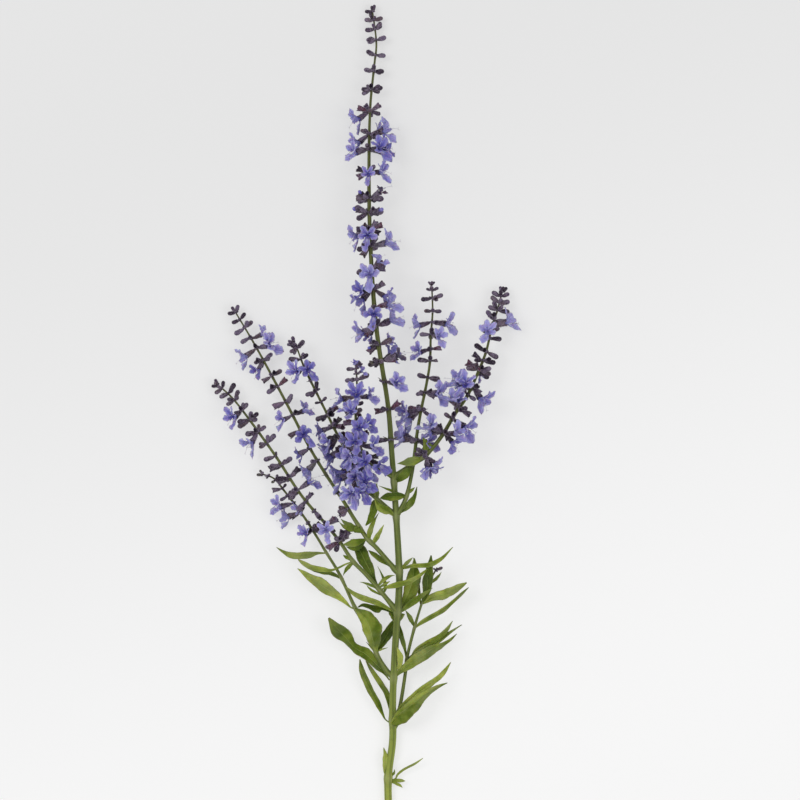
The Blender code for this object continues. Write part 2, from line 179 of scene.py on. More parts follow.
# Each stem: the points its middle line passes through, its radius at some distances from its base, and
# the distances of its leaf nodes.
STEMS = {
    "main": {
        "route": [
            (0, 0, 2), (-0.5, 25, 2.3), (2, 46, 3.4), (2, 67.5, 5.2), (3.5, 99, 9), (5.5, 128.5, 13.5),
            (5.5, 143, 15.5), (3.5, 177.5, 19.5), (1.5, 205.5, 21), (-0.5, 230.5, 21), (-6, 266, 19.5),
            (-8.5, 290.5, 18), (-10.5, 326, 15.5), (-11, 360.5, 13), (-10.4, 394, 9.3), (-8.1, 418.5, 5.7),
            (-7, 431, 4.5), (-9.2, 449, 2.6),
        ],
        "radii": [
            (0, 1.95), (70, 1.95), (130, 1.8), (200, 1.5), (240, 1.3), (350, 1.0), (420, 0.6), (450, 0.35),
        ],
        "nodes": [25, 57, 81, 118, 141, 171.5, 190.5],
    },
    "a": {
        "route": [
            (2, 120.5, 12.4), (-5.5, 129.7, 13), (-12.8, 138, 13), (-20.3, 145.7, 13), (-26.3, 154.8, 12.5),
            (-33.5, 164, 13), (-48.7, 182, 12.5), (-62.5, 203, 9.5), (-78.5, 225, 7), (-87, 235.5, 5.5),
            (-95, 242.5, 3.5),
        ],
        "radii": [(0, 1.2), (34, 1.05), (50, 0.9), (120, 0.7), (157, 0.35)],
        "nodes": [11.5, 33],
    },
    "b": {
        "route": [
            (-1, 84, 7.1), (-7, 94.3, 8.5), (-11.8, 107.4, 9), (-18.5, 119, 9), (-24, 131, 8.5),
            (-28.5, 140, 8), (-34.4, 149.4, 7.5), (-40.5, 159.5, 7), (-47, 169.5, 6.6), (-58, 184, 6),
            (-63.5, 190.5, 5.2), (-70.5, 193, 4),
        ],
        "radii": [(0, 1.15), (39, 1.0), (60, 0.85), (110, 0.6), (131, 0.35)],
        "nodes": [12.5, 39, 57.5, 74],
    },
    "c": {
        "route": [
            (3, 141, 15.2), (-6.2, 151.8, 15), (-12.2, 158, 14.5), (-18.6, 167.6, 14), (-26.5, 180.5, 13),
            (-35.5, 194, 11.5), (-44.5, 209, 10), (-57.3, 233.5, 8), (-72.9, 262.3, 7), (-85, 282.7, 4),
        ],
        "radii": [(0, 1.25), (21, 1.15), (40, 1.0), (120, 0.7), (167, 0.35)],
        "nodes": [21, 30],
    },
    "d": {
        "route": [
            (3.5, 171, 19), (-6.5, 179.5, 18.5), (-16, 187, 17.5), (-19.5, 194, 16.5), (-21, 201, 15.5),
            (-27, 212, 14), (-34.5, 227, 12.5), (-42.5, 243, 11.5), (-47, 252.5, 11), (-51, 263, 10.5),
            (-53.5, 265.5, 10),
        ],
        "radii": [(0, 1.0), (30, 0.85), (90, 0.65), (112, 0.35)],
        "nodes": [12.8],
    },
    "e": {
        "route": [
            (2, 191.5, 20.5), (-9.5, 199, 24), (-16, 208.5, 27), (-18, 220, 28.5), (-18, 233, 29),
            (-17.5, 242, 29), (-18, 253.5, 27.5),
        ],
        "radii": [(0, 0.95), (20, 0.85), (50, 0.65), (72, 0.35)],
        "nodes": [],
    },
    "f": {
        "route": [
            (5, 171.5, 19), (9.5, 180.5, 19.5), (12.5, 193.5, 18.5), (14, 203.5, 17.5), (15.5, 216, 16.5),
            (17.5, 227.5, 15.5), (20.5, 242, 14), (22.5, 254.5, 12.5), (23, 269, 11), (24, 282.5, 9.5),
            (23.5, 298, 8),
        ],
        "radii": [(0, 1.1), (30, 0.95), (90, 0.7), (129, 0.35)],
        "nodes": [10.8],
    },
    "g": {
        "route": [
            (4, 192.5, 20.8), (10.5, 197, 21.5), (18.4, 202.1, 22), (22.6, 206, 22), (29.4, 214.7, 20.5),
            (36.5, 226.5, 18), (43, 236, 15.5), (49, 249, 12), (53.5, 260.5, 9.5), (56.5, 273, 7.5),
            (60, 284, 6), (62.5, 294, 4),
        ],
        "radii": [(0, 1.2), (30, 1.05), (80, 0.8), (121, 0.35)],
        "nodes": [17],
    },
    "h": {
        "route": [
            (3.5, 54, 3.8), (6.5, 67, 3), (9, 83, 4.5), (10.1, 92.5, 6), (14.2, 109, 8), (17.9, 121.4, 9),
            (21.5, 131.9, 9.5), (26.5, 141.5, 9),
        ],
        "radii": [(0, 1.0), (55, 0.8), (70, 0.6), (91, 0.4)],
        "nodes": [37, 56, 69.5],
    },
}

# Each spike, from its tip down: one line for a whorl, with its distance from the tip and then its
# flowers. A flower is KIND AROUND / TILT *SIZE TINT. The kinds are b small bud, k closed calyx,
# c open calyx, p calyx with a corolla about to open, o calyx with an open corolla, s calyx with a
# withered corolla, and g green bract. AROUND is the angle about the spike's axis in degrees, 0 to the
# right, 90 up from the surface. TILT is the angle away from the spike's tip. TINT is r reddish,
# t tan, n greenish or w pale.
SPIKES = {
    "main": """
1 b20/25*.8 b190/75*.8 b100/15*.7 b270/40*.7
6 b180/75 b0/80 b60/50*.6 b270/70
11 b180/85 b120/30*.7 b0/45 b300/70
17 b178/85 b185/100*.9 b160/60*.4 b0/78*1.05 b230/75
25.5 b180/68*1.1 b195/85*.8 b0/78*1.1
34.5 b180/82 b165/100*.7 b90/50*.9 b0/85*1.05 b350/100*.8 b270/70
45 b180/88*1.1 b150/50*.7 k200/115*.75w b160/110*.8 b20/60 k0/70*.8 b350/70*.9 b330/95
57 c180/80r b150/40*.6 o198/124 c10/50r k340/100*.8
70 c190/130*.95r k165/60*.7 o182/132 c15/72*.8 o3/76*1.1 o300/75*.9 k20/100*.7
78.5 k185/95 k150/90*.8 o170/104 o45/96*1.1 o5/80 o350/100*1.05
91 c175/75 c200/110r o95/110*.75 k45/50*.7 o25/92*.9 c10/95*.8r
105.5 c165/60*.9 c185/85 k200/110*.9 p160/55*.8 s15/62 k350/88 k300/100*.8
113.5 k180/62*1.1 p190/75*1.05 k190/118*1.05 k5/88*1.05 p20/75*.9 k330/95*.8 k150/70*.8
122.5 c178/85 o182/118 o105/124 c20/40*.8 c0/72r c335/110*.9
132 k185/100 c200/140 k30/35*.9 o0/80*1.15n
144.5 k185/105*1.1 o103/118*1.1 c0/62r c350/90 o30/50*.8
156 o186/135*1.1 o150/102 c185/110r c5/60 o352/124*.95t
165.5 o98/132 o5/84r
176 c200/125*1.1r o188/112*1.05 o230/130*.9 c8/70*.8 k0/82 o355/76*1.05 k35/30*.6
186.5 c205/120r p150/100*.7 k10/70 o330/75*.8
195.5 k190/98*.9 c175/95*.9n b160/90*.8 c5/90*1.05r s2/84*1.3 o318/70*1.1
207 g160/55 b150/60*.5 o40/106*1.05 g335/130*.7t
222.5 c185/90r g190/95 b20/80*.6 c10/55r
239 c185/92*.9 g170/70 b200/90*.5 g5/75
""",
    "a": """
1 b200/50*.8 b20/20*.8 b90/40*.6
4 b180/70*.9 b20/60*.9 b100/60*.8
8.5 b180/60 k5/75*.9 b0/95*.6 b250/70
13.5 b185/75 b120/60 k10/60*.8 b300/80
20.5 c180/75*.7 o140/98*.95 b20/40*.8 b0/70*.9
27.5 k175/60*.9 k190/80 b20/42 k0/85*.8
35.5 k170/65 o160/112 b20/35*.8 b0/85*.9
43.5 b170/55*.8 b190/80*.9 b30/40*.9 k0/75*.9
52 k182/75*.9 b10/30*.5
58 c185/75 k165/65*.9 k5/85*.9
66 c190/80*1.1 k165/65 b90/70*.8 c0/80 b60/90*.9
74.5 c185/88 k200/105*.8 o0/88
82 k200/95 o215/100*.8 c20/70*.8 b10/40*.6
89 g170/60*.4 c90/140
99.5 c80/150*.9 c0/100 c20/85*.9r o110/106*.88
110.5 c190/85*1.15r k215/120 c0/80*1.1 c30/60 c330/100*.9r
""",
    "b": """
1 b180/20*.7n b0/30*.6n
4.5 b100/50*.6n g0/60*.4
9 b20/60*.6 b200/70*.6n
15 c190/60*.8 b10/70*.6
20 g190/70*.5 b20/60*.6 k180/80*.7
25 o170/66
31.5 o190/75 c200/80*.9
39 g20/40*.5 g180/60*.4 b100/60*.5
43.5 o132/84*.9 c100/80*.8 g185/85*.7 c0/70*.8
""",
    "c": """
1 b190/60*.9 b100/15*.8 b10/45*.9
5.5 b182/80*.9 b5/70*.95 b270/80*.7
11 k185/88*.9 b100/60*.5 k5/78*.8
17 k185/85*.8
18.2 b90/60*.7 o12/96*.9
24 o185/95 b90/60*.7 o30/104*1.05
31.5 o165/124*.85w k5/82*.85 k180/80*.7
41.5 c185/90*.9 b90/60*.8 k3/83*.85
48 k188/92*.9 b170/70*.8 c0/78*.9r
57.5 c188/80r k195/95*.8 k5/70*.7w
66 o152/90*.88 o5/98*.9
75 c190/95 o78/120
86.5 o190/95*.8 c180/90 g10/60*.4
94.5 c190/100n o200/105*.9 g0/60*.4
103.5 g185/70*.5 g10/60*.4
115.5 g190/70*.5 g170/100*.5
126 b185/75*1.1t b170/110t b205/45t b150/90*.9t s190/95*.65t
""",
    "d": """
1.5 b180/40*.8 b20/40*.8 b100/30*.8
4.5 b185/95*.9 b90/60 b0/62*1.1 b150/40*.8 b300/80*.8 b200/130*.8
11 k175/65*.9 b10/40*.8 b0/75*.9 b200/80*.7
15.5 o128/100 o75/114*.95 b0/70*.8
24 g185/80*.5 b270/70*.6
30.5 k182/80*.8 b205/110*.8 k10/30*.8 b0/80*.5
37 b182/75*.6 b0/70*.7
45 k185/88*.9 c70/100*1.1 c5/75r
52 k175/85*.8 c10/70*.9n c40/115r o195/80*.9
58.5 c190/90r k170/70*.8 c60/95*1.1r c110/85*.8n o200/115 o150/95*.9
65.5 c190/105r o185/95*1.1 c40/85*1.1r c130/80 c80/115r o5/80*.8
72.5 c190/110 o195/125*1.1 c60/100*1.1r o110/90 c20/80r o50/120
80 o90/120 c10/95*.8r c100/130r o175/100*1.05 o20/110
86 o225/115*1.05 o140/120*1.1 c180/105*.9r o60/115*1.05 k30/90*.8 o95/150 c75/75*.9r
""",
    "e": """
0.5 b60/30*.5
2.8 k183/85*.7 b50/55*.75 o88/48*.5
5.5 b100/60*.6 o35/70*.5
9 k182/92*.9 b150/70*.6 k5/68*.95
18.5 o182/96 o92/80*1.05 o3/80*.95
22.5 b20/70*.85 b330/75*.85 b150/60*.7 c190/80*.8
26.5 o110/90*.9 o168/75*.7 c190/95*.8 c60/110*.8r
32.5 o80/108 o30/100*.9 c190/90*.9r c165/70*.8r
39 o100/112 c10/80*.9r o200/110*.9 c130/100r
45.5 o30/108*1.05 c5/115*.8r o150/110 k200/90 c100/95r
53.5 o60/138*1.15 o100/85 o190/110 c0/120*.9n c210/130*.9r
""",
    "f": """
1 b180/35*.5 b0/35*.5 b90/50*.6
4 b182/70*.65 b0/65*.7 b90/70*.85
8.5 k180/88*.85 b150/60*.4 k0/72*.85 b40/60*.6
15.5 b180/85*.9 b90/90*.9 b0/88*.95
21.5 o188/114 o0/92*1.1
28.5 k180/88*.8 c15/75*.8 o52/104*.95w
36.5 o160/110*.95 b80/90*.8 c0/85*.9r
43 k180/88*.9 b200/100*.6 c10/80*.6w
52.5 b182/85*1.1 b0/85*1.2
61 b195/110*.9 c10/75r c350/100*.9w o32/84*1.05
70.5 k183/95r g0/80*.8 b185/120*.7 k190/125*.8 b0/115*.7 k340/110*.7 o200/140*1.1 o165/120*1.1
87.5 o165/95 o205/70 o20/92*.95 k180/80*.8 s350/110*.7
""",
    "g": """
1 b180/30*.7 b0/30*.8 b90/20*.7
3.5 b183/75*1.1 b100/50*.9 b20/60*.95
7 b0/70*1.15 b90/80 b60/100 b180/62*1.1
11.5 b182/40*1.15 b185/80*1.1 b60/60*.95 k0/82*.95
17 c5/80*.95 k175/60*.9 c350/105*.8 b90/70*.8
20.5 o2/62*1.2
23.5 b10/60*.9 b190/105*.9 o108/106
27.5 k0/80*.85 b90/100*.8 b300/80*.8
35.5 k180/75*.95 k0/95*.95 b90/90*.6 b170/80*.6
41 c182/70*.9 b190/100*.9 b15/50*.9 k0/75*.95
46.5 c183/75*1.15r k190/98*.9 b130/70 k20/60*.9 k0/85*.95 k345/108*.95 b90/90*.9r o300/110*.6
56.5 o165/98*1.1 o115/112*1.1 o182/116 b10/70*.8 o2/124*1.1 c350/120*.9n c355/100*.8
62 b0/95*.9 o175/60*.8
71 c178/75 o150/84 o120/66*.85 c0/80
78 b183/85*.9 o8/90*1.1 c60/100*.7
87 o150/100*1.1 o178/120 c150/70*.8 o45/72 o5/104*.95 c0/125*.6
103 o350/85*.8 c340/130*.8 o330/110 k150/100*.9 c185/140*.8 o20/125*.9
""",
    "h": """
1.5 b350/40*.8
""",
}

# Each leaf: the stem it grows from and how far up, the middle and the tip of its blade, its width, how
# far its halves are folded up from flat in degrees, its tone from 0 dark to 1 light (partly its own green
# and partly painted light and shade), the height of the waves along its edges, and how much lighter its
# left half is than its right, a painted light on one side of the fold.
LEAVES = {
    "leaf_1_upright": ("main", 27, (-3, 34, 3.4), (-3.5, 42, 3.5), 3.3, 20, 0.95, 0.1, 0.2),
    "leaf_1_curved": ("main", 24, (10, 27, 3), (18.5, 36.5, 4.5), 1.8, 15, 0.8, 0.1, 0),
    "leaf_2_left": ("main", 55.5, (-10.5, 72, 4.5), (-16, 91, 6), 4.7, 25, 0.3, 0.15, 0.25),
    "leaf_2_back": ("main", 60, (-5, 74, 1.8), (-12, 88, 2.5), 3.3, 10, 0.5, 0.1, 0),
    "leaf_2_right_upper": ("main", 60, (16.5, 76, 8), (34, 89, 8.5), 5.2, 20, 0.8, 0.2, 0),
    "leaf_2_right": ("main", 55, (16, 66.8, 10.5), (32, 78, 10.5), 8.6, 32, 0.5, 0.3, 0.4),
    "leaf_3_left": ("main", 79.5, (-17, 97.5, 6.5), (-33.5, 113.5, 10), 8.8, 25, 0.3, 0.5, -0.1),
    "leaf_3_right": ("main", 81.5, (19, 92.6, 11.5), (37.5, 105, 12), 7.4, 30, 0.55, 0.3, 0.2),
    "leaf_3_front": ("main", 86, (7, 91.5, 11.5), (3.5, 98.5, 13), 4.4, 10, 1, 0.1, 0),
    "leaf_b1_broad": ("b", 12, (-9, 106, 12.5), (-17, 119, 12.5), 10.5, 25, 0.5, 0.2, 0.22),
    "leaf_b1_dark": ("b", 12.5, (-0.5, 105.5, 6.5), (7.5, 118.5, 7), 5.5, 20, 0.1, 0.1, 0),
    "leaf_h1_right": ("h", 36, (21, 101.5, 8), (35, 112, 11), 5, 25, 0.65, 0.3, 0.1),
    "leaf_h1_left": ("h", 37.5, (8, 100, 7.5), (5, 111.5, 8), 3, 20, 0.25, 0.1, 0),
    "leaf_4_left": ("main", 117.5, (-8, 123, 12.5), (-23, 131, 12), 5.2, 20, 0.65, 0.2, 0),
    "leaf_4_left_lower": ("main", 116.5, (-5.5, 118.5, 9), (-16.5, 121, 9), 5.5, 40, 0.15, 0.5, -0.3),
    "leaf_4_right": ("main", 119.5, (12.5, 133.5, 10.5), (13, 147, 13), 8.8, 15, 0.45, 0.2, 0.2),
    "leaf_4_right_low": ("main", 117.5, (15, 124, 13), (24, 130.5, 15), 3.6, 20, 0.35, 0.1, 0),
    "leaf_a1_crossing": ("a", 11, (9, 132.5, 18), (20.5, 140, 16), 4.1, 20, 0.65, 0.1, 0.1),
    "leaf_a1_broad": ("a", 12, (-14, 145, 9.5), (-22, 156, 9.5), 8.2, 25, 0.15, 0.2, 0),
    "leaf_h3_up": ("h", 69.5, (20.5, 135, 12.5), (23, 148, 14), 5.8, 25, 0.1, 0.1, -0.1),
    "leaf_h3_right": ("h", 69.5, (29.5, 127.4, 10.5), (42.5, 133, 11.5), 6.2, 20, 0.7, 0.4, 0.2),
    "leaf_h2_right": ("h", 55.5, (29.5, 118.5, 9), (43.5, 130.5, 10), 3.9, 30, 0.55, 0.2, 0.1),
    "leaf_h2_left": ("h", 56.5, (11.5, 114, 9.5), (9, 118, 10), 2.5, 15, 0.3, 0.1, 0),
    "leaf_5_right": ("main", 142, (22.5, 143.5, 17.5), (35, 153, 17.5), 4.1, 25, 0.6, 0.2, 0),
    "leaf_5_left": ("main", 139.5, (-3.5, 144.5, 12), (-10.5, 150.5, 11), 3.3, 20, 0.15, 0.1, 0.2),
    "leaf_a2_left": ("a", 33, (-35, 139.8, 12.5), (-49.7, 146, 11), 4.6, 25, 0.65, 0.2, -0.1),
    "leaf_b3_left": ("b", 74, (-49, 147.5, 8.5), (-61.5, 152.5, 8), 5, 25, 0.65, 0.2, 0),
    "leaf_b2_left": ("b", 39, (-34.4, 129.6, 9), (-50.2, 140.7, 8.5), 7.2, 20, 0.8, 0.2, 0),
    "leaf_b2_upper": ("b", 57.5, (-31.5, 138.5, 7), (-37, 139.5, 6.5), 3.9, 20, 0.3, 0.1, -0.2),
    "leaf_c1_left": ("c", 22.5, (-20, 155, 14), (-25.5, 154.5, 15), 4.4, 20, 0.4, 0.1, 0),
    "leaf_c1_upper": ("c", 29.5, (-22, 165, 14), (-26.5, 168.5, 14.5), 3.3, 20, 0.4, 0.1, 0),
    "leaf_c1_up": ("c", 21, (-10, 163, 17), (-5.5, 172, 18), 3, 20, 0.5, 0.1, 0),
    "leaf_c1_right": ("c", 18.5, (-6, 157.5, 15.5), (-3, 165, 17), 5, 20, 0.75, 0.1, 0.2),
    "leaf_d1_up": ("d", 13, (-7, 183.5, 20), (-6.5, 188.5, 21), 3.3, 20, 0.5, 0.1, 0),
    "leaf_d1_down": ("d", 12.5, (-10, 172.5, 19), (-12.5, 165.5, 16), 5.2, 20, 0.4, 0.1, 0),
    "leaf_6_left": ("main", 171, (-1.5, 173, 21.5), (-6, 179, 22), 5.5, 30, 0.5, 0.1, 0.2),
    "leaf_f1_crossing": ("f", 10.5, (3, 180, 23.5), (-4.5, 180, 23.5), 4.7, 25, 0.15, 0.1, 0.3),
    "leaf_6_right": ("main", 172, (12.5, 175.5, 18), (15.5, 186, 19), 4.7, 25, 0.3, 0.1, 0),
    "leaf_g1_left": ("g", 17, (11.5, 200, 26), (4.5, 199, 26.5), 5.2, 25, 0.5, 0.1, 0),
    "leaf_7_right": ("main", 190, (9, 193.5, 24), (12.5, 197.5, 24), 5.2, 25, 0.2, 0.1, 0),
}

# The young leaves in the leaf axils, too small for solids of their own: the same values as above.
YOUNG_LEAVES = [
    ("main", 23.8, (6.1, 23.7, 3.2), (9, 23.4, 3.5), 2.0, 15, 0.7, 0, 0),
    ("main", 23.3, (5.2, 21.5, 3.0), (7.4, 19.6, 3.0), 1.6, 15, 0.7, 0, 0),
    ("h", 38, (22.6, 99, 4.5), (40, 110, 7), 2.4, 20, 0.3, 0.1, 0),
    ("h", 81, (26.2, 135.7, 10.5), (28.8, 139.2, 11), 1.7, 15, 0.5, 0, 0),
    ("h", 69, (15, 139, 9), (13.4, 147, 9), 2.2, 15, 0.3, 0, 0),
    ("a", 12.5, (-11.1, 132.4, 13.5), (-16.1, 133.7, 14), 1.4, 15, 0.4, 0, 0),
    ("a", 8, (-9.4, 129.2, 13), (-12.3, 132.2, 13.5), 1.3, 15, 0.4, 0, 0),
    ("a", 13.5, (-1.7, 135.9, 16), (3.2, 137.5, 17), 2.2, 20, 0.6, 0, 0),
    ("a", 9, (-2.2, 133, 14.5), (-6.3, 142.5, 15.5), 1.9, 15, 0.4, 0, 0),
    ("a", 12.6, (-1.9, 132.8, 15), (0.6, 134.2, 15.5), 1.4, 15, 0.5, 0, 0),
    ("a", 32, (-22.8, 141.4, 13.5), (-25.3, 137.1, 13.5), 2.2, 15, 0.3, 0, 0),
    ("a", 34, (-23.5, 147.3, 13.5), (-25.3, 148.7, 14), 1.7, 15, 0.5, 0, 0),
    ("c", 29, (-17.4, 162.6, 15.5), (-13.2, 160.6, 16), 4.4, 20, 0.35, 0, 0),
    ("c", 28.5, (-22.5, 163.2, 14), (-27.3, 166.7, 14), 2.8, 20, 0.5, 0, 0),
    ("f", 10.4, (1.5, 184, 21), (-5.7, 186.8, 21.5), 1.5, 15, 0.6, 0, 0),
    ("f", 12.4, (12.4, 184.3, 20), (14.3, 185.9, 20.5), 1.7, 15, 0.5, 0, 0),
    ("g", 21, (21.2, 207.8, 21.5), (18.3, 213.6, 21), 5.8, 20, 0.6, 0, 0),
    ("main", 82, (20.5, 96.3, 7.5), (40.3, 110, 9.5), 4.2, 20, 0.6, 0.2, 0),
    ("main", 142, (10.3, 144.8, 18), (13.1, 147.4, 19), 1.9, 15, 0.45, 0, 0),
    ("main", 117.5, (4.4, 113.5, 9.6), (3.8, 107, 8.2), 9.0, 15, 0.35, 0, 0.2,
     [(4.5, 116.5, 4.3, 4.7), (4.4, 114, 3.2, 3.4), (4.1, 111, 1.6, 1.6), (3.8, 107, 0.2, 0.2)]),
    ("main", 26, (2.6, 27.7, 3.5), (2.9, 30, 3.5), 1.2, 10, 0.6, 0, 0),
    ("b", 12.5, (-4.4, 96.3, 9.5), (-0.6, 97.4, 10), 0.9, 10, 0.6, 0, 0),
    ("b", 12.5, (-9.8, 97.5, 8.5), (-12.6, 100.4, 8.5), 0.9, 10, 0.5, 0, 0),
    ("c", 23, (-18, 152.6, 13), (-23.5, 153.2, 13), 3.6, 15, 0.2, 0, 0),
]

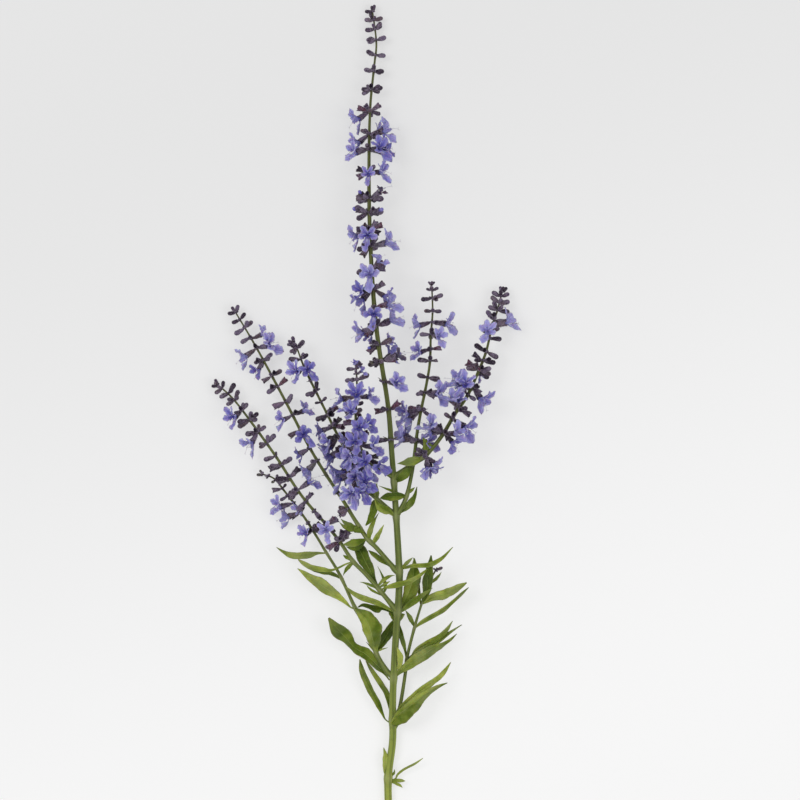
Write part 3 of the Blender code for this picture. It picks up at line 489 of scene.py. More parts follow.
# The outlines of the leaves that aren't plain lances, from the stalk to the tip: each point of the
# midrib, seen from above, and how far the blade reaches from it to the left and to the right, given once
# where both are the same.
BLADES = {
    "leaf_1_upright": [
        (-2, 28, 0.9, 1), (-2, 31, 1.4, 1.6), (-1.9, 35, 1.7), (-2.2, 38.5, 1.0, 1.1), (-3, 41.9, 0.2),
    ],
    "leaf_1_curved": [
        (3.4, 24.6, 0.4), (4.8, 27, 0.6), (7.5, 29.4, 0.7), (11, 31.3, 0.65), (15, 33.5, 0.6),
        (18.8, 36.2, 0.15),
    ],
    "leaf_2_left": [
        (-2, 57.5, 0.4), (-3.9, 61.3, 0.9), (-5.8, 65.3, 1.5, 1.6), (-8, 69.5, 1.7, 1.8), (-10.3, 73.7, 1.8),
        (-12.2, 77.7, 1.8), (-13.9, 81.7, 1.8), (-15.3, 86, 1.3, 1.4), (-16.1, 90.8, 0.3),
    ],
    "leaf_2_back": [
        (-1, 71, 1.5), (-3.5, 75.3, 1.5), (-6, 79.3, 1.4), (-8.7, 83.2, 1.3), (-10.8, 86.5, 0.9),
        (-12.9, 90, 0.2),
    ],
    "leaf_2_right_upper": [
        (5.5, 63, 1.1), (8.5, 66, 1.4), (12, 69, 1.7), (16, 72.5, 1.9, 2), (20, 75.3, 1.9, 2),
        (24, 78.3, 1.7, 1.6), (28, 81.5, 1.4), (31, 85, 1, 1.1), (34, 89.3, 0.2),
    ],
    "leaf_2_right": [
        (1.2, 54.4, 0.5, 2.8), (2.4, 57, 0.9, 3.9), (3.8, 58.9, 1.3, 4.7), (6, 61, 1.9, 5.6),
        (10, 64.2, 2.2, 5.4), (14, 67.3, 2.3, 4.4), (17, 69.6, 2.2, 2.9), (20, 71.8, 2, 2.2),
        (24, 74.2, 1.7, 1.2), (28, 76.5, 0.9, 0.8), (32.2, 78.1, 0.2),
    ],
    "leaf_3_left": [
        (-2.5, 83, 0.7), (-5.5, 86.3, 2, 2.2), (-9.5, 90.5, 2.4, 3.3), (-13.5, 94, 2.9, 3.6),
        (-17, 96, 2.7, 2.6), (-20.5, 98.6, 1.9, 2.6), (-23.5, 102.3, 2.8, 4.2), (-26.6, 105.8, 4.4, 3.8),
        (-29.5, 109, 3.5, 2.5), (-31.8, 111.8, 1.7, 1.5), (-33.3, 113.8, 0.5),
    ],
    "leaf_3_right": [
        (6, 84.3, 1.5), (9, 86.6, 2.1, 2.2), (12, 88.8, 2.6, 2.8), (16, 91.5, 3.1, 3), (20, 94.3, 2.9, 3),
        (24, 96.9, 2.1, 2.9), (28, 98.7, 1.3, 2), (31, 100.2, 1), (34, 102.2, 0.7, 0.8), (37.3, 105.2, 0.15),
    ],
    "leaf_3_front": [(5.3, 86.5, 0.9), (6.1, 89.8, 1.4, 1.6), (5.8, 93.5, 1.4, 1.7), (4.4, 97.8, 0.2)],
    "leaf_b1_broad": [
        (-7.3, 97, 1, 1.4), (-8.2, 99.5, 2.3, 3.4), (-9.3, 103, 3.2, 5.2), (-10.2, 107, 3.9, 6.4),
        (-11.3, 110.5, 3.8, 6), (-13, 113.5, 3.4, 5), (-15, 115.7, 2.4, 3.4), (-17.2, 117.9, 1.1, 1.6),
        (-18.6, 119.3, 0.4),
    ],
    "leaf_h1_right": [
        (12.8, 93, 0.6), (14.5, 95.2, 1.1, 1.3), (17.5, 97.3, 1.8), (21, 99.3, 1.9), (25, 101.6, 1.7, 1.6),
        (29, 104.5, 1.4), (32, 107.5, 1.1, 1), (35, 112.2, 0.15),
    ],
    "leaf_h1_left": [
        (9.3, 93, 0.5), (8.7, 97, 0.9, 0.8), (7.6, 100.8, 1.4, 1.3), (6.7, 104.3, 1.4, 1.3), (6, 107.8, 0.9),
        (5.3, 111.6, 0.15),
    ],
    "leaf_4_left": [
        (-4, 121, 1.2, 1.3), (-8, 122.7, 1.5, 1.6), (-12, 124.1, 1.7), (-16, 125.6, 1.5, 1.4),
        (-20, 127.8, 1.2, 1.1), (-24, 131.3, 0.2),
    ],
    "leaf_4_left_lower": [
        (-3, 119, 1.1, 1), (-5.5, 119.3, 2.6, 1.1), (-8, 119.6, 2.5, 1.2), (-11, 120.2, 1.4, 1.2),
        (-14.5, 120.9, 1, 0.8), (-17.2, 119.6, 0.3),
    ],
    "leaf_4_right": [
        (9, 124, 2, 3), (11, 128.5, 3, 4.4), (12.5, 133, 3.8, 4.7), (13.3, 137.5, 3.1, 4.1),
        (13.7, 142, 1.6, 2.2), (13.9, 146.8, 0.2, 0.3),
    ],
    "leaf_a1_crossing": [
        (-2, 130.6, 0.7), (0, 131.2, 1.1), (4, 132.3, 1.6, 1.7), (8, 133.2, 1.5), (12, 134.7, 1.3, 1.4),
        (16, 136.8, 1.1), (19, 139.2, 0.7), (21.3, 141.3, 0.15),
    ],
    "leaf_a1_broad": [
        (-8.3, 134.8, 1, 1.3), (-10.3, 139.5, 2.2, 2.5), (-12.8, 144.2, 3.2), (-15, 148.8, 3.4, 3.6),
        (-17.3, 152.6, 2.4, 3), (-21, 157, 0.3),
    ],
    "leaf_h3_up": [
        (19.7, 124.5, 1), (20.6, 128, 2.1, 1.9), (21.1, 132, 2.8, 2.7), (21.4, 136, 2.7, 2.8),
        (22, 140, 2, 2.3), (22.7, 144, 1.4, 1.5), (23.1, 148.4, 0.3, 0.4),
    ],
    "leaf_h3_right": [
        (20.3, 122.9, 1.2), (23, 124.8, 1.9, 2), (27, 126.3, 2.4, 2.7), (30, 127.2, 2, 3.3),
        (33, 128.2, 2.3, 2.7), (36, 129.5, 2.1), (39.5, 131.5, 1.4, 1.5), (42.8, 133.3, 0.3),
    ],
    "leaf_h2_right": [
        (15.9, 109.6, 0.7), (18, 111.2, 1.2, 1.1), (22, 113.6, 1.4, 1.3), (26, 115.8, 1.3, 1.4),
        (29.5, 118.2, 1.2, 1.6), (33, 120.8, 1, 1.1), (36.5, 123.8, 0.9), (40, 127.2, 0.8, 0.9),
        (43.8, 130.6, 0.2),
    ],
    "leaf_5_right": [
        (9, 141.6, 0.8, 0.7), (13, 142.6, 1.2, 1), (18, 142.9, 1.3), (23, 143.6, 1.4), (27, 145.5, 1.2),
        (30.5, 148.3, 0.8), (35.1, 153.1, 0.15),
    ],
    "leaf_5_left": [
        (0.5, 143, 1), (-2.5, 144.8, 1.4, 1.5), (-5.5, 146.7, 1.5), (-8.5, 148.9, 1.3), (-11.3, 151, 0.2),
    ],
    "leaf_a2_left": [
        (-24, 143.4, 0.5), (-28, 141.4, 0.6), (-32, 140.2, 0.8, 0.7), (-36, 140.4, 1.3, 1.4),
        (-40, 140.9, 1.5, 1.8), (-43.5, 141.9, 1.3, 1.5), (-47, 143.9, 1.2, 1.3), (-50, 146, 0.3),
    ],
    "leaf_b3_left": [
        (-39.5, 149.3, 0.8, 0.9), (-43, 148.7, 1.7, 1.6), (-47, 148.1, 2), (-51, 148, 1.9),
        (-55, 148.6, 1.6, 1.5), (-58.5, 150.4, 0.9, 0.8), (-62, 152.6, 0.15),
    ],
    "leaf_b2_left": [
        (-21.5, 119.9, 0.5), (-24, 122.2, 0.9, 1.2), (-27.5, 125, 1.5, 1.9), (-31, 127.4, 2.4, 2.7),
        (-34.5, 129.8, 2.9, 3.6), (-38.5, 132.5, 2.7, 3.6), (-42.5, 135.3, 2.2, 2.4), (-46.5, 138.3, 1.3),
        (-50.4, 140.9, 0.2),
    ],
    "leaf_b2_upper": [
        (-29.5, 137.2, 1), (-33, 138.4, 1.2, 1.3), (-37, 139.1, 1.3, 1.4), (-41, 139.9, 0.9),
        (-43.8, 140.5, 0.15),
    ],
    "leaf_c1_right": [(-8.5, 155.5, 1), (-6.8, 158.2, 1.4), (-4.9, 161.5, 1), (-2.8, 165.3, 0.15)],
    "leaf_d1_down": [
        (-7.8, 177.5, 1.5, 1.6), (-8.3, 174, 2, 2.1), (-9.3, 170.5, 1.9), (-10.8, 167.3, 1.3, 1.4),
        (-12.8, 164.8, 0.3),
    ],
    "leaf_6_left": [
        (0.5, 172.2, 1.2, 1.5), (-2, 173.2, 2, 2.5), (-4.5, 174.7, 2.2), (-6.5, 177, 1.2), (-7.8, 180, 0.3),
    ],
    "leaf_6_right": [
        (7, 172.8, 1, 0.9), (9.8, 175, 1.9, 1.7), (12.5, 178, 1.9, 1.7), (14.3, 181.5, 1.1, 0.9),
        (15.4, 186.2, 0.2),
    ],
    "leaf_f1_crossing": [
        (7.5, 181.2, 1.3), (5, 181.1, 2.1), (1, 180.9, 2.4, 2.3), (-2, 180.5, 1.7, 1.9), (-4.8, 180, 0.2),
    ],
}


def smooth_line(points):
    """Points on a smooth curve that passes through the given ones."""
    points = [Vector(p) for p in points]
    ends = [2 * points[0] - points[1]] + points + [2 * points[-1] - points[-2]]
    line = [points[0]]
    for before, start, end, after in zip(ends, ends[1:], ends[2:], ends[3:]):
        handles = start + (end - before) / 6, end - (after - start) / 6
        line += interpolate_bezier(start, *handles, end, ROUTE_STEPS)[1:]
    return np.array(line)


def lengths_along(line):
    return np.concatenate([[0], np.cumsum(np.linalg.norm(np.diff(line, axis=0), axis=1))])


class Route:
    """A smooth line through a stem's points, read by its distance from the stem's base."""

    def __init__(self, stem):
        self.points = smooth_line(stem["route"])
        self.lengths = lengths_along(self.points)
        self.length = self.lengths[-1]
        self.stations, self.radii = np.array(stem["radii"]).T

    def at(self, distance):
        return np.stack([np.interp(distance, self.lengths, self.points[:, i]) for i in range(3)], axis=-1)

    def direction(self, distance):
        return unit(self.at(np.add(distance, 1.0)) - self.at(np.subtract(distance, 1.0)))

    def radius(self, distance):
        return np.interp(distance, self.stations, self.radii)


class Shape:
    """Points, faces and values at the points, gathered before they become one mesh."""

    def __init__(self):
        self.points, self.faces, self.values, self.count = [], [], {}, 0

    def add(self, points, faces, **values):
        self.points.append(points)
        self.faces += [tuple(i + self.count for i in face) for face in faces]
        for name, value in values.items():
            self.values.setdefault(name, []).append(np.broadcast_to(value, len(points)))
        self.count += len(points)

    def stamp(self, template, place, basis, size, **values):
        """Adds a copy of another shape, turned so that its x, y and z lie along the basis's three rows."""
        points, faces, own = template
        self.add(place + (points * size) @ basis, faces, **own, **values)

    def gathered(self):
        """The shape as a template: its points, faces and values."""
        values = {name: np.concatenate(value) for name, value in self.values.items()}
        return np.concatenate(self.points), self.faces, values


def only(points, faces, **values):
    """A shape of one part."""
    shape = Shape()
    shape.add(points, faces, **values)
    return shape


def unit(vector):
    return vector / np.linalg.norm(vector, axis=-1, keepdims=True)


def smooth(share):
    share = np.clip(share, 0, 1)
    return share * share * (3 - 2 * share)


def in_row_frame(points):
    """Points in millimetres from the cut end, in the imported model's frame, in metres."""
    return points * MM + ORIGIN


def find_origin():
    """Where the frame of the cut end has its origin: the middle of the main stem's lower end face."""
    corners = np.array([v.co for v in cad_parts["main_stem"].data.vertices])
    end_face = corners[corners[:, 1] < corners[:, 1].min() + MM]
    middle = (end_face.min(axis=0) + end_face.max(axis=0)) / 2
    return middle - np.array([0, 0, CUT_END_HEIGHT * MM])


def kept_above(points):
    """Points that would lie under the surface are laid flat on it."""
    height = points[:, 2]
    below = np.minimum(height - LAID_FLAT_BELOW, 0)
    laid = LAID_FLAT_BELOW + (SURFACE_CLEAR - LAID_FLAT_BELOW) * (1 - np.exp(below / LAYING_DEPTH))
    points[:, 2] = np.where(height < LAID_FLAT_BELOW, laid, height)
    return points


def add_piece(name, shape, material, replaces=()):
    """Turns a shape into an object that rides on the plant, and hides the solids it stands for."""
    points, faces, values = shape.gathered()
    mesh = bpy.data.meshes.new(name)
    mesh.from_pydata(in_row_frame(kept_above(points)), [], faces)
    for key, value in values.items():
        mesh.attributes.new(key, "FLOAT", "POINT").data.foreach_set("value", value.astype(np.float32))
    mesh.polygons.foreach_set("use_smooth", [True] * len(faces))
    mesh.materials.append(material)
    piece = bpy.data.objects.new(name, mesh)
    bpy.context.scene.collection.objects.link(piece)
    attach(piece, "root")
    if replaces:
        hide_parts(*replaces)
    return piece


def rings(sections):
    """A closed body from a stack of rings of points: quads between them and a fan on a point at each end."""
    count, sides = sections.shape[:2]
    points = np.vstack([sections.reshape(-1, 3), sections[0].mean(axis=0), sections[-1].mean(axis=0)])
    start, end, top = count * sides, count * sides + 1, (count - 1) * sides
    around = [(i, (i + 1) % sides) for i in range(sides)]
    faces = []
    for row in range(0, top, sides):
        faces += [(row + i, row + j, row + sides + j, row + sides + i) for i, j in around]
    faces += [(start, j, i) for i, j in around]
    faces += [(end, top + i, top + j) for i, j in around]
    return points, faces


def turned(profile, sides, rib=0.0):
    """A closed body turned about x. profile is (x, radius) from end to end; rib is the ribs' height."""
    x, radius = np.array(profile, float).T[..., None]
    angle = 2 * np.pi * np.arange(sides) / sides
    radius = radius * (1 - rib * on_ridge(sides)[::-1])
    sections = np.stack([x + 0 * radius, radius * np.sin(angle), radius * np.cos(angle)], axis=-1)
    return rings(sections[:, ::-1])


def on_ridge(sides, rows=1):
    """1 at every other side of a ribbed body and -1 between them, for each point of its rings."""
    return np.tile(np.where(np.arange(sides) % 2, 1.0, -1.0), rows)


def thread(line, radius):
    """A thin three-sided tube along a line of points, a little thinner at its end."""
    along = unit(np.gradient(line, axis=0))
    side = unit(np.cross(along, (0.3, 0.2, 0.93)))
    up = np.cross(along, side)
    angle = 2 * np.pi * np.arange(3)[:, None] / 3
    thick = radius * np.linspace(1, 0.6, len(line))[:, None, None]
    sections = line[:, None] + thick * (np.cos(angle) * side[:, None] + np.sin(angle) * up[:, None])
    return rings(sections)


def pillow(place, rows, columns, thickness):
    """A thin closed sheet. place(u, v) gives its middle surface for u from 0 to 1 along it and v from -1
    to 1 across it. Its two skins meet all round the edge."""
    u, v = np.meshgrid(np.linspace(0, 1, rows), np.linspace(-1, 1, columns), indexing="ij")
    middle = place(u, v)
    along, across = np.gradient(middle, axis=0), np.gradient(middle, axis=1)
    normal = np.cross(across, along)
    normal /= np.maximum(np.linalg.norm(normal, axis=-1, keepdims=True), 1e-9)
    depth = thickness / 2 * (1 - v**4) * (1 - (2 * u - 1) ** 10)
    offset = normal * depth[..., None]
    top = np.arange(rows * columns).reshape(rows, columns)
    inner = np.zeros((rows, columns), bool)
    inner[1:-1, 1:-1] = True
    bottom = top.copy()
    bottom[inner] = rows * columns + np.arange(inner.sum())
    points = np.vstack([(middle + offset).reshape(-1, 3), (middle - offset)[inner]])
    faces = []
    for r in range(rows - 1):
        for c in range(columns - 1):
            faces.append((top[r, c], top[r, c + 1], top[r + 1, c + 1], top[r + 1, c]))
            faces.append((bottom[r, c], bottom[r + 1, c], bottom[r + 1, c + 1], bottom[r, c + 1]))
    values = {
        "along": np.concatenate([u.ravel(), u[inner]]),
        "across": np.concatenate([v.ravel(), v[inner]]),
        "under": np.concatenate([np.zeros(rows * columns), np.ones(inner.sum())]),
    }
    return points, faces, values


# --------------------------------------------------------------------------------------------- flowers


def teeth_at(angle):
    """How far the calyx's rim is drawn out, and opened, at an angle from its upper side."""
    reach, flare = np.zeros_like(angle), np.zeros_like(angle)
    for middle, width, length, open_by in TEETH:
        off = np.abs((angle - middle + 180) % 360 - 180)
        share = np.clip(1 - off / width, 0, 1) ** 0.7
        reach, flare = np.maximum(reach, share * length), np.maximum(flare, share * open_by)
    return reach, flare


def open_calyx():
    """A calyx whose rim is drawn out into its teeth and turns back inside."""
    angle = 360 * np.arange(CALYX_SIDES) / CALYX_SIDES
    reach, flare = teeth_at(angle)
    ribs = 1 + RIB_HEIGHT * on_ridge(CALYX_SIDES)[::-1]
    sections = []
    for x, radius, follow in OPEN_RINGS:
        r = radius * ribs + follow * flare
        turn = np.radians(angle)
        sections.append(np.stack([x + follow * reach, r * np.sin(turn), r * np.cos(turn)], axis=-1))
    return rings(np.array(sections)[:, ::-1])


def add_hairs(shape, profile, rng, count):
    """Fine three-sided hairs standing off a turned body."""
    x, radius = np.array(profile, float).T[:2]
    for _ in range(count):
        at = rng.uniform(x[0] + 0.3 * (x[-1] - x[0]), x[-1] - 0.3)
        turn = rng.uniform(0, 2 * np.pi)
        out = np.array([rng.uniform(0, 0.7), np.sin(turn), np.cos(turn)])
        foot = np.array([at, *(np.interp(at, x, radius) * 0.95 * out[1:])])
        side = HAIR_WIDTH * unit(np.cross(out, (1, 0.2, 0.1)))
        lift = HAIR_WIDTH * unit(np.cross(out, side))
        tip = foot + unit(out) * rng.uniform(*HAIR_LENGTH)
        points = np.array([foot + side, foot - side / 2 + lift, foot - side / 2 - lift, tip])
        shape.add(points, [(0, 2, 1), (0, 1, 3), (1, 2, 3), (2, 0, 3)], along=at / 6, hair=1.0, ridge=0.0)


def calyx_template(kind, rng):
    """A small bud, a closed calyx or an open one, with its hairs."""
    shape = Shape()
    profile, sides, hairs = {
        "b": (BUD_PROFILE, BUD_SIDES, HAIRS // 2),
        "k": (CLOSED_PROFILE, CALYX_SIDES, HAIRS),
        "c": ([ring[:2] for ring in OPEN_RINGS], CALYX_SIDES, HAIRS),
    }[kind]
    if kind == "c":
        points, faces = open_calyx()
        points[:, 1] *= CALYX_FLAT
    else:
        points, faces = turned(profile, sides, RIB_HEIGHT)
    ridge = np.concatenate([on_ridge(sides, len(profile)), [0, 0]])
    dent = np.sin(2.3 * points[:, 0] + rng.uniform(0, 6)) * np.sin(3 * points[:, 1] + rng.uniform(0, 6))
    points[:, 1:] *= (1 + CRUMPLE * dent)[:, None]
    shape.add(points, faces, along=points[:, 0] / points[:, 0].max(), hair=0.0, ridge=ridge)
    add_hairs(shape, profile[:9], rng, hairs)
    return shape.gathered()


def bract_template():
    """A small green bract."""

    def place(u, v):
        half = 0.62 * np.sin(np.pi * (0.08 + 0.92 * u) ** 0.8) + 0.05
        return np.stack([4.2 * u, half * v, 0.9 * u**2 + 0.25 * np.abs(v) * half], axis=-1)

    points, faces, _ = pillow(place, 9, 5, 0.2)
    return only(points, faces, along=0.5, hair=0.0, ridge=0.0).gathered()


def petal(turn, length, half_width, lean_from, lean_to, twist, rng, pointed):
    """A lobe that starts on the rim of the corolla's tube, leans out from it and twists."""
    turn = math.radians(turn + rng.uniform(*TURN_JITTER))
    forward = np.array([1.0, 0, 0])
    out = np.array([0, math.sin(turn), math.cos(turn)])
    side = np.array([0, math.cos(turn), -math.sin(turn)])
    length *= rng.uniform(*LENGTH_JITTER)
    lean_from += rng.uniform(*FOOT_LEAN_JITTER)
    lean_to += rng.uniform(*END_LEAN_JITTER)
    lean = np.radians([lean_from, lean_to])
    twist = math.radians(twist + rng.uniform(*TWIST_JITTER))
    ruffle, crumple, fringe = rng.uniform(0, 6.28, 3)

    def place(u, v):
        share = u[:, :1, None]
        v = v[..., None]
        slope = lean[0] + (lean[1] - lean[0]) * share
        ahead = forward * np.cos(slope) + out * np.sin(slope)
        step = ahead * length / (len(share) - 1)
        line = np.cumsum(step, axis=0) - step[:1]
        back = out * np.cos(slope) - forward * np.sin(slope)
        turned_by = twist * smooth(share * 1.3)
        wide = side * np.cos(turned_by) + back * np.sin(turned_by)
        normal = back * np.cos(turned_by) - side * np.sin(turned_by)
        # It widens over its first part and rounds off over the rest; the tongue stays hollow.
        if pointed:
            round_end = (1 - np.clip((share - 0.6) / 0.4, 0, 1) ** 2) ** 0.8
            half = half_width * (0.4 + 0.6 * smooth(share / 0.6)) * round_end
            hollow = 0.5
        else:
            round_end = (1 - np.clip((share - 0.55) / 0.45, 0, 1) ** 2.2) ** 0.7
            half = half_width * (0.5 + 0.5 * smooth(share / 0.6)) * round_end
            hollow = 0.5 - 0.7 * share
        half = half * (1 + FRINGE * np.sin(19 * share + fringe + 2 * np.sign(v)) * smooth(share * 2))
        half = half + LEAST_HALF_WIDTH
        bend = hollow * half * v**2 + 0.3 * half * np.sin(9 * share + ruffle) * v**3
        bend = bend + CRUMPLE_HEIGHT * np.sin(13 * share + 4 * v + crumple) * smooth(share * 2)
        notch = np.exp(-((v / 0.45) ** 2)) * smooth((share - 0.7) / 0.3)
        notch = notch * (TONGUE_NOTCH if pointed else 1) * NOTCH
        # It starts a little inside the throat.
        foot = forward * (THROAT - 0.6) + out * THROAT_RADIUS * 0.8
        return foot + line + wide * half * v - normal * bend - ahead * notch

    return pillow(place, LOBE_ROWS, LOBE_COLUMNS, PETAL_THICKNESS)


def corolla_template(rng):
    """An open corolla: its tube, an upper lip of four lobes and a long lower lip."""
    shape = Shape()
    shape.add(*turned(TUBE_PROFILE, TUBE_SIDES), along=0.0, across=0.0, under=0.0, lip=0.0)
    for lobe in LOBES + [TONGUE]:
        points, faces, values = petal(*lobe, rng, lobe is TONGUE)
        shape.add(points, faces, **values, lip=float(lobe is TONGUE))
    return shape.gathered()


def opening_template():
    """The tip of a corolla that is about to open."""
    points, faces = turned(OPENING_PROFILE, 10, 0.08)
    start = OPENING_PROFILE[0][0]
    along = (points[:, 0] - start) / start
    return only(points, faces, along=along, across=0.0, under=0.0, lip=0.0).gathered()


def style_template(rng):
    """The long style with its forked end, and two short stamens."""
    shape = Shape()
    reach, droop = rng.uniform(*STYLE_REACH), rng.uniform(-2.5, 1.5)
    t = np.linspace(0, 1, 9)[:, None]
    across, rise = 0.6 * droop * t**2, 0.7 * np.sin(3 * t) + droop * t**2
    line = np.hstack([STYLE_FOOT + (reach - STYLE_FOOT) * t, across, rise])
    points, faces = thread(line, 0.11)
    shape.add(points, faces, along=np.clip((points[:, 0] - STYLE_FOOT) / 8, 0, 1))
    for away in (-1, 1):
        fork = line[-1] + np.array([[0, 0, 0], [0.4, 0.15 * away, 0.3 * away], [0.6, 0.2 * away, 0.8 * away]])
        shape.add(*thread(fork, 0.1), along=1.0)
        stamen = np.array([[STYLE_FOOT, 0.3 * away, 0.2], [8.3, 0.5 * away, 0.5], [10, 0.9 * away, 0.3]])
        shape.add(*thread(stamen, 0.09), along=0.6)
        points, faces = turned(ANTHER_PROFILE, 6)
        shape.add(points + stamen[-1] - np.array([0.2, 0, 0]), faces, along=0.0)
    return shape.gathered()


def parsed(flower):
    """KIND AROUND / TILT *SIZE TINT, as its five values."""
    found = re.fullmatch(r"([a-z])(\d+)/(\d+)(?:\*([\d.]+))?([rtnw]?)", flower)
    kind, around, tilt, size, tint = found.groups()
    return kind, float(around), float(tilt), float(size or 1), TINTS[tint]


def flower_direction(axis, right, front, around, tilt):
    """Where a flower points, and the way out of the stem to it."""
    turn, lean = math.radians(around), math.radians(tilt)
    out = right * math.cos(turn) + front * math.sin(turn)
    return axis * math.cos(lean) + out * math.sin(lean), out


def between_levels(direction, height, reach):
    """The direction, turned just enough for a flower of that reach to stay above the surface and under
    the highest flowers."""
    least = (SURFACE_CLEAR + FLOWER_HALF_WIDTH - height) / reach
    most = (cad_bounds[1].z / MM + HEADROOM - height) / reach
    rise = min(max(direction[2], min(least, MOST_LIFTED)), max(most, MOST_LOWERED))
    if rise == direction[2]:
        return direction
    return unit(direction * (1, 1, 0)) * math.sqrt(1 - rise**2) + np.array([0, 0, rise])


def whorl_fill(line, rng):
    """The flowers that a whorl has besides those named: its youngest buds at the stem and, where it is
    full, calyces in front and behind."""
    full = len(re.findall("[kcops]", line))
    fill = []
    for around in (55, 90, 125):
        fill.append(f"b{around + rng.integers(-12, 12)}/{rng.integers(70, 100)}*{YOUNG_BUD}")
    in_front = 2 if full >= 4 else 1 if full >= 2 else 0
    for _ in range(in_front):
        fill.append(f"{rng.choice(['k', 'c'])}{rng.integers(50, 130)}/{rng.integers(60, 105)}*.8")
    for _ in range(2 if full >= 3 else 0):
        fill.append(f"{rng.choice(['k', 'c'])}{rng.integers(235, 305)}/{rng.integers(70, 100)}*.9")
    return fill if full or "b" in line else []


def flower_basis(direction, axis, front, rng):
    """A flower's own x, y and z: out along its direction, with its upper side to the spike's tip, and
    rolled about itself towards the light."""
    up = unit(axis - direction * axis.dot(direction) + 1e-6 * front)
    side = np.cross(up, direction)
    roll = rng.uniform(*ROLL_JITTER) + FACING * front.dot(side)
    cosine, sine = math.cos(roll), math.sin(roll)
    return np.array([direction, side * cosine - up * sine, up * cosine + side * sine])


def one_of(templates, rng):
    return templates[rng.integers(len(templates))]


def add_flower(shapes, templates, kind, foot, basis, size, tint, light, rng):
    """Stamps a flower's calyx, corolla and style into the three shapes, as far as its kind has them."""
    calyces, corollas, styles = shapes
    # A random tone for each flower; the corollas' is scaled down by light, a painted shade on spikes deep in
    # the clump.
    tone = rng.random()
    if kind == "g":
        calyces.stamp(templates["g"], foot, basis, size, tone=tone, tint=TINTS["n"])
        return
    calyx = one_of(templates["c" if kind in KINDS_WITH_OPEN_CALYX else kind], rng)
    calyces.stamp(calyx, foot, basis, size, tone=tone, tint=tint)
    if kind == "p":
        corollas.stamp(templates["p"], foot, basis, size, tone=tone * light, withered=0.0)
    elif kind in "os":
        # A withered corolla has shrunk, and still sits in the mouth of its calyx.
        withered = float(kind == "s")
        corolla_size = size * (WITHERED_SIZE if withered else 1)
        corolla_foot = foot + basis[0] * THROAT * (size - corolla_size) * 0.9
        corolla = one_of(templates["o"], rng)
        corollas.stamp(corolla, corolla_foot, basis, corolla_size, tone=tone * light, withered=withered)
        styles.stamp(one_of(templates["style"], rng), foot, basis, size)


def grow_spike(route, whorls, templates, rng, light):
    """A spike's flowers as three shapes: calyces, corollas in light's painted shade, and styles."""
    shapes = Shape(), Shape(), Shape()
    for line in whorls.strip().splitlines():
        from_tip, *flowers = line.split()
        distance = route.length - float(from_tip)
        axis, radius = route.direction(distance), route.radius(distance)
        right = unit(np.array([axis[1], -axis[0], 0]))
        front = np.cross(right, axis)
        flowers += whorl_fill(line, rng)
        for kind, around, tilt, size, tint in map(parsed, flowers):
            around += rng.uniform(*AROUND_JITTER)
            tilt += rng.uniform(*TILT_JITTER)
            direction, out = flower_direction(axis, right, front, around, tilt)
            size *= rng.uniform(*SIZE_JITTER)
            foot = route.at(distance) + out * radius * SUNK_FOOT
            direction = unit(between_levels(direction, foot[2], REACH[kind] * size))
            basis = flower_basis(direction, axis, front, rng)
            add_flower(shapes, templates, kind, foot, basis, size, tint, light, rng)
    return shapes


# ------------------------------------------------------------------------------------- stems and leaves


def stem_line(route, main):
    """The rings of a stem's skin: their distances from its base, their centres, their radii as a share of
    the stem's, and how much of the pith shows. A side stem starts inside the main stem."""
    distance = np.linspace(0, route.length, int(route.length / STEM_RING))
    if route is main:
        distance = np.concatenate([[0, 0, 0.05], distance[1:]])
        rest = np.ones(len(distance) - 3)
        return distance, route.at(distance), np.append(CUT_BEVEL, rest), np.append(CUT_PITH, 0 * rest)
    start = route.at(0)
    nearest = main.lengths[np.argmin(np.linalg.norm(main.points - start, axis=1))]
    root = main.at(nearest - ROOT_BELOW)
    reach = np.linalg.norm(root - start)
    distance = np.concatenate([np.linspace(-reach, 0, 5)[:-1], distance])
    centre = route.at(distance) + (root - start) * np.clip(-distance / reach, 0, 1)[:, None]
    return distance, centre, np.ones(len(distance)), np.zeros(len(distance))


